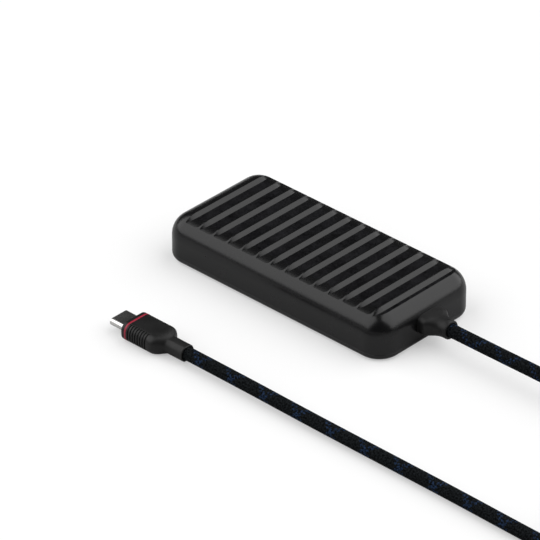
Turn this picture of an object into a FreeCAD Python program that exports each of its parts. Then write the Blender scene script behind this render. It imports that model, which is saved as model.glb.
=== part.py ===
import FreeCAD, Part
import math
import os

Vector = FreeCAD.Vector

# Laptop power adapter with a captive braided cord and a USB-C plug.
# Millimetres. +X towards the cord end, +Z up, origin at the bottom centre of the case.

# case
case_length = 96.0
case_width = 45.5
case_height = 16.2
case_corner = 8.0  # plan radius of the four corners
case_top_round = 7.8  # radius of the roll from the walls to the top
case_base_round = 2.2
case_wall = 1.8
case_roof = 2.4
case_floor = 1.8
parting_height = 2.4
fit_gap = 0.1  # clearance between two pieces that fit together
min_flat = 0.05  # shortest straight stretch between two arcs of a section

# lip of the bottom cover, inside the top cover's walls
lip_height = 1.6
lip_wall = 1.0

# pockets across the top, with a narrow ridge between each two
pocket_count = 14
pocket_pitch = 6.25
pocket_depth = 0.9
pocket_reach = 19.6  # from the middle line to a pocket's rounded end, down on the rolled edge
ridge_crest = 0.5
ridge_slope_run = 1.5  # the side that faces the cord end
ridge_back_run = 0.2  # the steep side
pocket_corner = 1.5
pocket_over = 0.9  # how far the cutting shape stands above the roof
pocket_bend = 60.0  # degrees that it follows a rolled edge, past the pocket's end
first_valley = 9.2  # from the inlet end to the foot of the first slope

# mains inlet, two poles
inlet_height = 7.1  # of its middle above the base
inlet_lobe = 8.5  # width and height of one lobe of the recess
inlet_pitch = 8.6  # between the two pins
inlet_lobe_pitch = 6.6  # between the lobe centres
inlet_waist = 6.8  # height of the recess between the lobes
inlet_body_round = 2.0
inlet_wall = 0.9
inlet_back = 1.5
inlet_depth = 12.5
inlet_pin_diameter = 2.36
inlet_pin_length = 9.5
inlet_pin_tail = 3.0
inlet_tab_width = 2.0
inlet_tab_thick = 0.6
inlet_pin_round = 0.8

# circuit board and what stands on it
board_thick = 1.2
board_stand = 2.0  # height of the standoffs over the floor
board_side_gap = 1.6
board_end_gap = 2.2
board_corner = 2.0
standoff_diameter = 4.0
standoff_inset = 3.2
sheet_thick = 0.25
solder_gap = 0.05  # what stands on the board clears it by this much

# bulk capacitors, lying in a cut-out of the board
can_room_gap = 0.95  # up to the heat spreader
can_between = 0.8
can_choke_gap = 2.05
can_core_gap = 1.0  # least room left beside the transformer
can_seal = 1.2
can_seal_step = 1.0
can_rim_round = 0.8
can_side_gap = 0.3
can_end_gap = 3.0
can_lead_diameter = 0.7
can_lead_pitch = 5.0
can_lead_length = 2.2

# transformer
core_length = 17.0
core_width = 19.0
core_plate = 1.3  # thickness over and under the window
core_window = 15.0
core_mouth = 10.8  # width of the openings at the two ends
core_leg = 7.4
bobbin_wall = 0.6
coil_gap = 0.15

# small parts on the board: length, width, height in X, Y, Z
film_length = 6.0
film_width = 13.0
film_room_gap = 1.25  # up to the heat spreader
bridge_size = (7.0, 8.0, 2.4)
switch_size = (8.0, 8.0, 1.0)
opto_size = (4.6, 6.5, 2.2)
disc_room_gap = 1.25
disc_capacitor_thick = 3.0
fuse_diameter = 3.2
fuse_length = 8.5
choke_outer = 11.0
choke_inner = 5.2
choke_room_gap = 1.85
choke_wire = 0.7
choke_turns = 7  # on each half of the ring
choke_turn_step = 22.0  # degrees
choke_edge_gap = 4.4  # to the edge of the board
choke_film_gap = 2.6
polymer_can_diameter = 6.3
polymer_room_gap = 1.65
polymer_wire_gap = 2.45
polymer_can_pitch = 8.0
polymer_can_middle_y = -4.0
polymer_can_gap = 1.6  # to the transformer
polymer_can_round = 0.5
film_edge_gap = 2.4
film_choke_gap = 0.45
film_round = 0.5
fuse_edge_gap = 1.2
fuse_post_gap = 1.5
bridge_edge_gap = 2.5
bridge_lead_gap = 0.25
switch_core_gap = 0.8
opto_core_gap = 1.0
disc_core_gap = 1.0
disc_edge_gap = 8.0
disc_round = 1.2
chip_size = (5.0, 4.0, 1.4)
chip_edge_gap = 1.6
chip_bridge_gap = 2.0
chip_switch_gap = 0.5
chip_end_gap = 3.5

# heat spreader under the roof, with a soft pad on the transformer
spreader_thick = 0.4
spreader_inlet_gap = 4.9  # inside the board's inlet end
spreader_cord_gap = 4.3  # inside its other end
spreader_side_gap = 1.45  # inside the flat part of the roof
spreader_corner = 2.0
pad_thick = 0.75
pad_inset = 1.0  # from each edge of the transformer core

# cord
cord_diameter = 4.5
cord_exit_height = 7.4

# gland that holds the cord in the end wall
gland_base_width = 11.5
gland_base_height = 6.6
gland_neck_width = 9.6
gland_neck_height = 5.0
gland_flange_width = 12.6
gland_flange_height = 7.2
gland_flange_thick = 1.2
gland_flange_inset = 1.0  # between the flange and the end wall
gland_seat = 0.5  # how deep its base sits in the wall
gland_length = 9.4  # outside the wall
gland_base_length = 2.6
gland_collar_diameter = 6.4
gland_collar_length = 2.6
gland_waist_width = 8.23  # halfway along the taper
gland_waist_height = 6.37

# output wires between gland and board
wire_diameter = 1.3
wire_pitch = 2.6
wire_reach = 5.0

# plug, which lies on the surface beside the case and points to -X
plug_middle_y = -61.9
plug_tip_x = -29.0
plug_shell_width = 8.25
plug_shell_height = 2.4
plug_shell_wall = 0.3
plug_shell_reach = 6.65  # length outside the overmould
plug_shell_root = 5.0  # length inside it
plug_slot_width = 6.9
plug_slot_height = 0.8
plug_slot_depth = 5.2
plug_face_inset = 0.3  # between the shell's rim and the insulator
plug_nose_round = 0.18
contact_count = 12
contact_pitch = 0.5
contact_width = 0.24
contact_thick = 0.12
contact_inset = 1.2  # from the shell's rim
plug_board_width = 6.8
plug_board_thick = 0.8
plug_board_length = 7.0
grip_width = 11.75
grip_height = 6.5
grip_side_round = 2.6
grip_front_length = 1.4  # in front of the ring
grip_ring_length = 0.8
grip_ring_depth = 0.5
grip_body_length = 12.4  # from the front face to the start of the shoulders
grip_shoulder_length = 4.4
grip_length = 23.85
grip_sleeve_diameter = 5.9
grip_nose_round = 0.5
# width, height and distance from the sleeve of the two middle sections of the shoulders
shoulder_sections = ((10.95, 6.4, 2.86), (7.75, 6.11, 1.1))
grip_rib_count = 8
grip_rib_pitch = 1.05
grip_rib_width = 0.5
grip_rib_depth = 0.3
grip_rib_start = 3.1
grip_rib_height = 4.2
inner_mould_width = 8.6
inner_mould_height = 3.6
inner_mould_length = 9.0
inner_mould_round = 1.0
ferrule_wall = 0.4
ferrule_length = 4.0

# put-away coil, wound flat in two layers
coil_middle_x = 178.0
coil_columns = 4
coil_layers = 2
coil_dip = 2.0  # room inside the ring for the turn that climbs
coil_tail = 20.0  # straight stretch that belongs to the coil at each end
coil_lift = 0.05  # so that no cord dips below the surface
coil_round = 1.8
tie_width = 9.0
tie_thick = 0.9
tie_slack = 0.2

# places that follow from the sizes
case_end = case_length / 2
case_side = case_width / 2
inner_end = case_end - case_wall
inner_side = case_side - case_wall
inner_top = case_height - case_roof
board_low = case_floor + board_stand
board_high = board_low + board_thick
part_base = board_high + solder_gap
sheet_high = inner_top - fit_gap
sheet_low = sheet_high - spreader_thick
core_height = sheet_low - pad_thick - part_base
core_window_height = core_height - 2 * core_plate
film_height = sheet_low - film_room_gap - part_base
disc_capacitor_diameter = sheet_low - disc_room_gap - part_base
choke_height = sheet_low - choke_room_gap - part_base - 2 * choke_wire
polymer_can_height = sheet_low - polymer_room_gap - part_base

# what stands on the board, from its two ends inwards
board_low_x = -case_end + inlet_depth + inlet_back + board_side_gap
board_high_x = inner_end - board_end_gap - gland_flange_thick
board_side = inner_side - board_side_gap
wire_end_x = inner_end - gland_flange_inset - gland_flange_thick
wire_drop_x = wire_end_x - wire_reach
polymer_can_x = wire_drop_x - wire_diameter / 2 - polymer_wire_gap - polymer_can_diameter / 2
core_high_x = polymer_can_x - polymer_can_diameter / 2 - polymer_can_gap
core_middle_x = core_high_x - core_length / 2
choke_x = board_low_x + film_length + choke_film_gap
choke_y = board_side - choke_outer / 2 - choke_edge_gap

# as many bulk capacitors as fit between the choke and the transformer
can_height = case_floor + sheet_thick + can_side_gap
can_diameter = sheet_low - can_room_gap - can_height
can_pitch = can_diameter + can_between
can_start_x = choke_x + choke_outer / 2 + choke_wire + coil_gap + can_choke_gap
can_room = core_high_x - core_length - can_core_gap - can_start_x
can_count = int((can_room + can_between) / can_pitch)
can_middle_x = can_start_x + (can_count * can_pitch - can_between) / 2
can_line = can_height + can_diameter / 2
bridge_y = -board_side + bridge_edge_gap + bridge_size[1] / 2
lead_end_y = bridge_y + bridge_size[1] / 2 + bridge_lead_gap + can_lead_diameter / 2
can_start_y = lead_end_y + can_lead_length
can_length = inner_side - can_end_gap - can_start_y

cord_radius = cord_diameter / 2
gland_end = case_end + gland_length
grip_front = plug_tip_x + plug_shell_reach
grip_end = grip_front + grip_length
grip_middle_z = grip_height / 2
coil_outer_turn = -plug_middle_y / 2  # so both tails leave it straight
coil_inner_turn = coil_outer_turn - (coil_columns - 1) * cord_diameter
coil_middle_y = plug_middle_y / 2
coil_height = coil_layers * cord_diameter + coil_lift
coil_start_x = coil_middle_x - coil_tail
coil_base_line = coil_lift + cord_radius
coil_top_line = coil_height - cord_radius

# Route of the cord where it isn't coiled. Each list runs from one end face to the other.
body_run = [
    (gland_end, 0.0, cord_exit_height),
    (75.0, 0.0, cord_exit_height),
    (100.0, 0.4, 7.3),
    (121.0, 0.3, 6.3),
    (140.0, 0.0, coil_top_line),
    (coil_start_x, 0.0, coil_top_line),
]
plug_run = [
    (coil_start_x, plug_middle_y, coil_base_line),
    (141.0, plug_middle_y, coil_base_line),
    (112.0, -61.4, 2.3),
    (80.0, -61.5, 2.4),
    (52.0, -61.8, 2.75),
    (26.0, plug_middle_y, grip_middle_z),
    (grip_end, plug_middle_y, grip_middle_z),
]

pieces = {}


def box(x0, x1, y0, y1, z0, z1):
    return Part.makeBox(x1 - x0, y1 - y0, z1 - z0, Vector(x0, y0, z0))


def centred_box(middle, size):
    """A block of that size about a middle point."""
    corner = Vector(*[m - s / 2 for m, s in zip(middle, size)])
    return Part.makeBox(size[0], size[1], size[2], corner)


def standing_block(x, y, z, size):
    """A block of that size that stands on height z."""
    return centred_box((x, y, z + size[2] / 2), size)


def rod_x(x0, x1, y, z, diameter):
    return Part.makeCylinder(diameter / 2, x1 - x0, Vector(x0, y, z), Vector(1, 0, 0))


def rod_z(x, y, z0, z1, diameter):
    return Part.makeCylinder(diameter / 2, z1 - z0, Vector(x, y, z0), Vector(0, 0, 1))


def fused(shapes):
    whole = shapes[0]
    if len(shapes) > 1:
        whole = whole.fuse(shapes[1:])
    return whole.removeSplitter()


def outline(points):
    """Closed wire through points; an item (corner, centre) turns a corner with an arc about centre."""
    edges = []
    for (p, arc), (q, _) in zip(points, points[1:] + points[:1]):
        if arc is None:
            edges.append(Part.LineSegment(p, q).toShape())
        else:
            radius = (p - arc).Length
            half = (p - arc) + (q - arc)
            middle = arc + half * (radius / half.Length)
            edges.append(Part.Arc(p, middle, q).toShape())
    return Part.Wire(edges)


def slab(x0, x1, y0, y1, z0, z1, corner):
    """A flat block with round vertical edges."""
    solid = box(x0, x1, y0, y1, z0, z1)
    upright = [e for e in solid.Edges if abs(e.Vertexes[0].Z - e.Vertexes[1].Z) > (z1 - z0) / 2]
    return solid.makeFillet(corner, upright)


def bar_x(x0, x1, y, z, width, height, corner):
    """A block along X whose four long edges are round."""
    solid = centred_box(((x0 + x1) / 2, y, z), (x1 - x0, width, height))
    lengthwise = [e for e in solid.Edges if abs(e.Vertexes[0].X - e.Vertexes[1].X) > (x1 - x0) / 2]
    return solid.makeFillet(corner, lengthwise)


def rolled_profile(reach, low, high, top_round, base_round, upright, along):
    """Half section from the middle out to reach: flat base, round foot, wall, rolled top."""

    def at(s, z):
        return upright * z + along * s

    points = [(at(0, low), None), (at(reach - base_round, low), None)]
    if base_round > 0:
        points[-1] = (at(reach - base_round, low), at(reach - base_round, low + base_round))
        points.append((at(reach, low + base_round), None))
    points.append((at(reach, high - top_round), at(reach - top_round, high - top_round)))
    points.append((at(reach - top_round, high), None))
    points.append((at(0, high), None))
    return Part.Face(outline(points))


def rolled_block(length, width, corner, low, high, top_round, base_round):
    """The case's form: a flat block with round corners, a rolled top and a round foot."""
    up = Vector(0, 0, 1)
    half_x = length / 2 - corner
    half_y = width / 2 - corner
    shapes = [box(-half_x, half_x, -half_y, half_y, low, high)]
    for angle, reach, half in ((0, half_x, half_y), (90, half_y, half_x)):
        for turn in (angle, angle + 180):
            out = Vector(math.cos(math.radians(turn)), math.sin(math.radians(turn)), 0)
            side = up.cross(out)
            face = rolled_profile(corner, low, high, top_round, base_round, up, out)
            face.translate(out * reach - side * half)
            shapes.append(face.extrude(side * (2 * half)))
    for sx, sy, start in ((1, 1, 0), (-1, 1, 90), (-1, -1, 180), (1, -1, 270)):
        out = Vector(math.cos(math.radians(start)), math.sin(math.radians(start)), 0)
        face = rolled_profile(corner, low, high, top_round, base_round, up, out)
        spin = face.revolve(Vector(0, 0, 0), up, 90)
        spin.translate(Vector(sx * half_x, sy * half_y, 0))
        shapes.append(spin)
    return fused(shapes)


def pocket_cutter(k):
    """One pocket: a slope, a floor and a steep side, which follow the rolled edges down."""
    valley = -case_end + first_valley + k * pocket_pitch
    crest = valley - ridge_slope_run
    far = crest + pocket_pitch - ridge_crest
    slope_lift = ridge_slope_run * pocket_over / pocket_depth
    back_lift = ridge_back_run * pocket_over / pocket_depth
    corners = [
        (crest - slope_lift, case_height + pocket_over),
        (valley, case_height - pocket_depth),
        (far - ridge_back_run, case_height - pocket_depth),
        (far + back_lift, case_height + pocket_over),
    ]
    flat_side = case_side - case_top_round
    section = Part.Face(outline([(Vector(x, -flat_side, z), None) for x, z in corners]))
    shapes = [section.extrude(Vector(0, 2 * flat_side, 0))]
    for side in (-1, 1):
        bent = section.translated(Vector(0, flat_side * (1 + side), 0))
        pivot = Vector(0, side * flat_side, case_height - case_top_round)
        shapes.append(bent.revolve(pivot, Vector(-side, 0, 0), pocket_bend))
    low = case_height - case_top_round
    over = case_height + pocket_over
    plan = slab(crest, far, -pocket_reach, pocket_reach, low, over, pocket_corner)
    return fused(shapes).common(plan)


def inlet_recess(x0, x1, grow):
    """The figure-8 room of the inlet, grown all round by grow."""
    lobes = []
    for side in (-1, 1):
        y = side * inlet_lobe_pitch / 2
        lobes.append(rod_x(x0, x1, y, inlet_height, inlet_lobe + 2 * grow))
    waist = centred_box(
        ((x0 + x1) / 2, 0, inlet_height),
        (x1 - x0, inlet_lobe_pitch, inlet_waist + 2 * grow),
    )
    return fused(lobes + [waist])


def inlet_envelope(grow):
    """Outside of the inlet body, from the inner face of the end wall."""
    width = inlet_lobe_pitch + inlet_lobe + 2 * inlet_wall
    height = inlet_lobe + 2 * inlet_wall
    x0 = -inner_end
    x1 = -case_end + inlet_depth + inlet_back
    width += 2 * grow
    height += 2 * grow
    return bar_x(x0, x1 + grow, 0, inlet_height, width, height, inlet_body_round)


def gland_section(x, width, height):
    """Closed oval of that width and height, square to X."""
    half_w = width / 2
    half_h = height / 2
    flat = max(half_w - half_h, 0.001)
    z = cord_exit_height
    points = [
        (Vector(x, -flat, z - half_h), None),
        (Vector(x, flat, z - half_h), Vector(x, flat, z)),
        (Vector(x, flat, z + half_h), None),
        (Vector(x, -flat, z + half_h), Vector(x, -flat, z)),
    ]
    edges = []
    for (p, centre), (q, _) in zip(points, points[1:] + points[:1]):
        if centre is None:
            edges.append(Part.LineSegment(p, q).toShape())
        else:
            side = 1 if centre.y > 0 else -1
            edges.append(Part.Arc(p, Vector(x, side * half_w, z), q).toShape())
    return Part.Wire(edges)


def oval_bar(x0, x1, width, height):
    return Part.Face(gland_section(x0, width, height)).extrude(Vector(x1 - x0, 0, 0))


def outer_case():
    return rolled_block(
        case_length, case_width, case_corner, 0, case_height, case_top_round, case_base_round
    )


def make_top_cover():
    cover = outer_case().cut(
        box(-case_end, case_end, -case_side, case_side, -1, parting_height)
    )
    cavity = rolled_block(
        case_length - 2 * case_wall,
        case_width - 2 * case_wall,
        case_corner - case_wall,
        0,
        inner_top,
        case_top_round - case_wall,
        0,
    )
    cover = cover.cut(cavity)
    for k in range(pocket_count):
        cover = cover.cut(pocket_cutter(k))
    cover = cover.cut(inlet_recess(-case_end - 1, -inner_end + 1, fit_gap))
    cover = cover.cut(inlet_envelope(fit_gap))
    neck_w = gland_neck_width + 2 * fit_gap
    neck_h = gland_neck_height + 2 * fit_gap
    cover = cover.cut(oval_bar(inner_end - 2, case_end + 1, neck_w, neck_h))
    seat_w = gland_base_width + 2 * fit_gap
    seat_h = gland_base_height + 2 * fit_gap
    cover = cover.cut(oval_bar(case_end - gland_seat, case_end + 1, seat_w, seat_h))
    flange_w = gland_flange_width + 2 * fit_gap
    flange_h = gland_flange_height + 2 * fit_gap
    flange_x = inner_end - gland_flange_inset
    room = oval_bar(flange_x - gland_flange_thick - fit_gap, flange_x + fit_gap, flange_w, flange_h)
    return cover.cut(room)


def standoff_places():
    y = board_side - standoff_inset
    ends = (board_low_x + standoff_inset, board_high_x - standoff_inset)
    return [(x, side * y) for x in ends for side in (-1, 1)]


def make_bottom_cover():
    tray = outer_case().common(
        box(-case_end, case_end, -case_side, case_side, -1, parting_height)
    )
    well = slab(
        -inner_end + lip_wall,
        inner_end - lip_wall,
        -inner_side + lip_wall,
        inner_side - lip_wall,
        case_floor,
        parting_height + 1,
        case_corner - case_wall - lip_wall,
    )
    tray = tray.cut(well)
    reach_x = inner_end - fit_gap
    reach_y = inner_side - fit_gap
    corner = case_corner - case_wall - fit_gap
    lip_top = parting_height + lip_height
    lip = slab(-reach_x, reach_x, -reach_y, reach_y, parting_height, lip_top, corner)
    lip = lip.cut(
        slab(
            -reach_x + lip_wall,
            reach_x - lip_wall,
            -reach_y + lip_wall,
            reach_y - lip_wall,
            parting_height - 1,
            lip_top + 1,
            corner - lip_wall,
        )
    )
    lip = lip.cut(inlet_envelope(fit_gap))
    flange_x = inner_end - gland_flange_inset - gland_flange_thick
    room_w = gland_flange_width + 4 * fit_gap
    lip = lip.cut(
        box(flange_x - 1, inner_end, -room_w / 2, room_w / 2, parting_height, lip_top + 1)
    )
    tray = tray.cut(inlet_envelope(fit_gap))
    posts = [rod_z(x, y, case_floor, board_low, standoff_diameter) for x, y in standoff_places()]
    return fused([tray, lip] + posts)


def make_inlet_body():
    body = inlet_envelope(0)
    back = -case_end + inlet_depth
    body = body.cut(inlet_recess(-inner_end - 1, back, 0))
    for side in (-1, 1):
        y = side * inlet_pitch / 2
        body = body.cut(rod_x(back - 1, back + inlet_back + 1, y, inlet_height, inlet_pin_diameter))
    return body


def inlet_pin_places():
    back = -case_end + inlet_depth
    return back - inlet_pin_length, back + inlet_back + inlet_pin_tail


def make_inlet_pins():
    x0, x1 = inlet_pin_places()
    pins = []
    for side in (-1, 1):
        pin = rod_x(x0, x1, side * inlet_pitch / 2, inlet_height, inlet_pin_diameter)
        tip = [e for e in pin.Edges if e.BoundBox.XMax < x0 + 0.01]
        pins.append(pin.makeFillet(inlet_pin_round, tip))
    return Part.makeCompound(pins)


def make_inlet_leads():
    x1 = inlet_pin_places()[1]
    leads = []
    for side in (-1, 1):
        y = side * inlet_pitch / 2
        leads.append(
            box(
                x1,
                x1 + inlet_tab_thick,
                y - inlet_tab_width / 2,
                y + inlet_tab_width / 2,
                board_high,
                inlet_height + inlet_tab_width / 2,
            )
        )
    return Part.makeCompound(leads)


def can_places():
    return [can_start_x + can_diameter / 2 + i * can_pitch for i in range(can_count)]


def make_main_board():
    board = slab(
        board_low_x, board_high_x, -board_side, board_side, board_low, board_high, board_corner
    )
    room = box(
        can_start_x - can_side_gap,
        can_start_x + can_count * can_pitch - can_between + can_side_gap,
        can_start_y - can_side_gap,
        board_side + 1,
        board_low - 1,
        board_high + 1,
    )
    return board.cut(room)


def make_insulation_sheet():
    top = case_floor + sheet_thick
    sheet = slab(
        board_low_x, board_high_x, -board_side, board_side, case_floor, top, board_corner
    )
    for x, y in standoff_places():
        sheet = sheet.cut(rod_z(x, y, 0, board_low, standoff_diameter + 4 * fit_gap))
    return sheet


def make_bulk_capacitors():
    cans = []
    for x in can_places():
        base = Vector(x, can_start_y + can_seal, can_line)
        can = Part.makeCylinder(can_diameter / 2, can_length - can_seal, base, Vector(0, 1, 0))
        seal_base = Vector(x, can_start_y, can_line)
        seal = Part.makeCylinder(can_diameter / 2 - can_seal_step, can_seal, seal_base, Vector(0, 1, 0))
        rim = [e for e in can.Edges if e.BoundBox.YMin > can_start_y + can_length - 0.01]
        cans.append(fused([can.makeFillet(can_rim_round, rim), seal]))
    return Part.makeCompound(cans)


def make_capacitor_leads():
    leads = []
    for x in can_places():
        for side in (-1, 1):
            lead_x = x + side * can_lead_pitch / 2
            base = Vector(lead_x, lead_end_y, can_line)
            run = Part.makeCylinder(can_lead_diameter / 2, can_lead_length, base, Vector(0, 1, 0))
            knee = Part.makeSphere(can_lead_diameter / 2, base)
            drop = rod_z(lead_x, base.y, board_high, can_line, can_lead_diameter)
            leads.append(fused([run, knee, drop]))
    return Part.makeCompound(leads)


def make_transformer():
    """Core with a round leg, bobbin on the leg and winding on the bobbin."""
    x = core_middle_x
    low = part_base
    middle = low + core_height / 2
    block = standing_block(x, 0, low, (core_length, core_width, core_height))
    win_low = middle - core_window_height / 2
    win_high = middle + core_window_height / 2
    window = rod_z(x, 0, win_low, win_high, core_window)
    mouth = box(
        x - core_length, x + core_length, -core_mouth / 2, core_mouth / 2, win_low, win_high
    )
    leg = rod_z(x, 0, win_low, win_high, core_leg)
    core = fused([block.cut(fused([window, mouth])), leg])
    tube_in = core_leg + 2 * coil_gap
    tube_out = tube_in + 2 * bobbin_wall
    flange_out = core_window - 2 * coil_gap
    z0 = win_low + coil_gap
    z1 = win_high - coil_gap
    bobbin = fused(
        [
            rod_z(x, 0, z0, z1, tube_out),
            rod_z(x, 0, z0, z0 + bobbin_wall, flange_out),
            rod_z(x, 0, z1 - bobbin_wall, z1, flange_out),
        ]
    ).cut(rod_z(x, 0, z0 - 1, z1 + 1, tube_in))
    winding = rod_z(x, 0, z0 + bobbin_wall, z1 - bobbin_wall, flange_out - 2 * coil_gap)
    winding = winding.cut(rod_z(x, 0, z0, z1, tube_out))
    return core, bobbin, winding


def make_choke():
    low = part_base + choke_wire
    core = rod_z(choke_x, choke_y, low, low + choke_height, choke_outer)
    core = core.cut(rod_z(choke_x, choke_y, low - 1, low + choke_height + 1, choke_inner))
    turns = []
    mean = (choke_outer + choke_inner) / 4
    run = (choke_outer - choke_inner) / 2
    for side in (0, 180):
        for i in range(choke_turns):
            angle = side + (i - (choke_turns - 1) / 2) * choke_turn_step
            outer = centred_box(
                (mean, 0, low + choke_height / 2),
                (
                    run + 2 * coil_gap + 2 * choke_wire,
                    choke_wire,
                    choke_height + 2 * choke_wire,
                ),
            )
            inner = centred_box(
                (mean, 0, low + choke_height / 2),
                (run + 2 * coil_gap, 2 * choke_wire, choke_height),
            )
            turn = outer.cut(inner)
            turn.rotate(Vector(0, 0, 0), Vector(0, 0, 1), angle)
            turn.translate(Vector(choke_x, choke_y, 0))
            turns.append(turn)
    return core, Part.makeCompound(turns)


def make_board_parts():
    """The simple packages that stand on the board."""
    film_x = board_low_x + film_edge_gap + film_length / 2
    film_y = choke_y - choke_outer / 2 - film_choke_gap - film_width / 2
    film = standing_block(film_x, film_y, part_base, (film_length, film_width, film_height))
    pieces["film_capacitor"] = film.makeFillet(film_round, film.Edges)
    fuse_y = -board_side + fuse_diameter / 2 + fuse_edge_gap
    fuse_x = board_low_x + standoff_inset + standoff_diameter / 2 + fuse_post_gap
    pieces["mains_fuse"] = rod_x(
        fuse_x, fuse_x + fuse_length, fuse_y, part_base + fuse_diameter / 2, fuse_diameter
    )
    bridge = standing_block(can_middle_x, bridge_y, part_base, bridge_size)
    pieces["bridge_rectifier"] = bridge
    switch_x = core_middle_x - core_length / 2 + switch_size[0] / 2
    switch_y = -core_width / 2 - switch_size[1] / 2 - switch_core_gap
    pieces["primary_switch"] = standing_block(switch_x, switch_y, part_base, switch_size)
    opto_y = core_width / 2 + opto_size[1] / 2 + opto_core_gap
    pieces["optocoupler"] = standing_block(core_middle_x, opto_y, part_base, opto_size)
    disc_x = core_middle_x + core_length / 2 + disc_capacitor_thick / 2 + disc_core_gap
    disc_base = Vector(
        disc_x - disc_capacitor_thick / 2,
        board_side - disc_edge_gap,
        part_base + disc_capacitor_diameter / 2,
    )
    disc = Part.makeCylinder(
        disc_capacitor_diameter / 2, disc_capacitor_thick, disc_base, Vector(1, 0, 0)
    )
    pieces["y_capacitor"] = disc.makeFillet(disc_round, disc.Edges)
    cans = []
    can_top = part_base + polymer_can_height
    for side in (-1, 1):
        y = polymer_can_middle_y + side * polymer_can_pitch / 2
        can = rod_z(polymer_can_x, y, part_base, can_top, polymer_can_diameter)
        top = [e for e in can.Edges if e.BoundBox.ZMin > can_top - 0.01]
        cans.append(can.makeFillet(polymer_can_round, top))
    pieces["output_capacitors"] = Part.makeCompound(cans)
    chips = []
    chip_y = -board_side + chip_size[1] / 2 + chip_edge_gap
    beside_bridge = can_middle_x + bridge_size[0] / 2 + chip_bridge_gap + chip_size[0] / 2
    at_cord_end = board_high_x - chip_end_gap - chip_size[0] / 2
    beside_switch = switch_x + switch_size[0] / 2 + chip_switch_gap + chip_size[0] / 2
    for chip_x in (beside_bridge, beside_switch, at_cord_end):
        chips.append(standing_block(chip_x, chip_y, part_base, chip_size))
    pieces["controller_chips"] = Part.makeCompound(chips)


def make_heat_path():
    """Soft pad on the transformer core, and the copper sheet that it presses to the roof."""
    core_top = part_base + core_height
    half_width = case_side - case_top_round - spreader_side_gap
    sheet = slab(
        board_low_x + spreader_inlet_gap,
        board_high_x - spreader_cord_gap,
        -half_width,
        half_width,
        sheet_low,
        sheet_high,
        spreader_corner,
    )
    pad = box(
        core_middle_x - core_length / 2 + pad_inset,
        core_middle_x + core_length / 2 - pad_inset,
        -core_width / 2 + pad_inset,
        core_width / 2 - pad_inset,
        core_top,
        sheet_low,
    )
    return sheet, pad


def make_gland():
    flange_x = inner_end - gland_flange_inset
    base_x = case_end - gland_seat
    flange = oval_bar(
        flange_x - gland_flange_thick, flange_x, gland_flange_width, gland_flange_height
    )
    neck = oval_bar(flange_x, base_x, gland_neck_width, gland_neck_height)
    base = oval_bar(base_x, case_end + gland_base_length, gland_base_width, gland_base_height)
    collar_x = gland_end - gland_collar_length
    collar_d = gland_collar_diameter
    taper = Part.makeLoft(
        [
            gland_section(case_end + gland_base_length, gland_base_width, gland_base_height),
            gland_section(
                (case_end + gland_base_length + collar_x) / 2,
                gland_waist_width,
                gland_waist_height,
            ),
            gland_section(collar_x, collar_d + 0.02, collar_d),
        ],
        True,
        False,
    )
    collar = oval_bar(collar_x, gland_end, collar_d + 0.02, collar_d)
    return fused([flange, neck, base, taper, collar])


def make_output_wires():
    wires = []
    for side in (-1, 1):
        y = side * wire_pitch / 2
        run = rod_x(wire_drop_x, wire_end_x, y, cord_exit_height, wire_diameter)
        knee = Part.makeSphere(wire_diameter / 2, Vector(wire_drop_x, y, cord_exit_height))
        drop = rod_z(wire_drop_x, y, board_high, cord_exit_height, wire_diameter)
        wires.append(fused([run, knee, drop]))
    return Part.makeCompound(wires)


def stadium_x(x0, x1, width, height):
    """A bar along X at the plug's middle, with round sides."""
    flat = width - height
    shapes = [centred_box(((x0 + x1) / 2, plug_middle_y, grip_middle_z), (x1 - x0, flat, height))]
    for side in (-1, 1):
        y = plug_middle_y + side * flat / 2
        shapes.append(rod_x(x0, x1, y, grip_middle_z, height))
    return fused(shapes)


def plug_shell_end():
    return grip_front + plug_shell_root


def make_plug_shell():
    x1 = plug_shell_end()
    outer = stadium_x(plug_tip_x, x1, plug_shell_width, plug_shell_height)
    nose = [e for e in outer.Edges if e.BoundBox.XMax < plug_tip_x + 0.01]
    outer = outer.makeFillet(plug_nose_round, nose)
    inner_w = plug_shell_width - 2 * plug_shell_wall
    inner_h = plug_shell_height - 2 * plug_shell_wall
    return outer.cut(stadium_x(plug_tip_x - 1, x1 + 1, inner_w, inner_h))


def make_plug_insulator():
    inner_w = plug_shell_width - 2 * plug_shell_wall
    inner_h = plug_shell_height - 2 * plug_shell_wall
    x0 = plug_tip_x + plug_face_inset
    body = stadium_x(x0, plug_shell_end(), inner_w, inner_h)
    slot = centred_box(
        (x0, plug_middle_y, grip_middle_z),
        (2 * plug_slot_depth, plug_slot_width, plug_slot_height),
    )
    return body.cut(slot)


def contact_rows():
    rows = []
    x0 = plug_tip_x + contact_inset
    x1 = plug_tip_x + plug_face_inset + plug_slot_depth
    for side in (-1, 1):
        z = grip_middle_z + side * (plug_slot_height / 2 - contact_thick / 2)
        for i in range(contact_count):
            y = plug_middle_y + (i - (contact_count - 1) / 2) * contact_pitch
            rows.append(
                centred_box(((x0 + x1) / 2, y, z), (x1 - x0, contact_width, contact_thick))
            )
    return Part.makeCompound(rows)


def make_plug_board():
    x0 = plug_shell_end()
    return centred_box(
        (x0 + plug_board_length / 2, plug_middle_y, grip_middle_z),
        (plug_board_length, plug_board_width, plug_board_thick),
    )


def inner_mould_block(grow):
    x0 = plug_shell_end()
    return bar_x(
        x0,
        x0 + inner_mould_length + grow,
        plug_middle_y,
        grip_middle_z,
        inner_mould_width + 2 * grow,
        inner_mould_height + 2 * grow,
        inner_mould_round,
    )


def make_inner_mould():
    return inner_mould_block(0).cut(make_plug_board())


def ferrule_bar(grow):
    x0 = plug_shell_end() + inner_mould_length
    diameter = cord_diameter - 2 * ferrule_wall + 2 * grow
    return rod_x(x0, x0 + ferrule_length, plug_middle_y, grip_middle_z, diameter)


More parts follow.
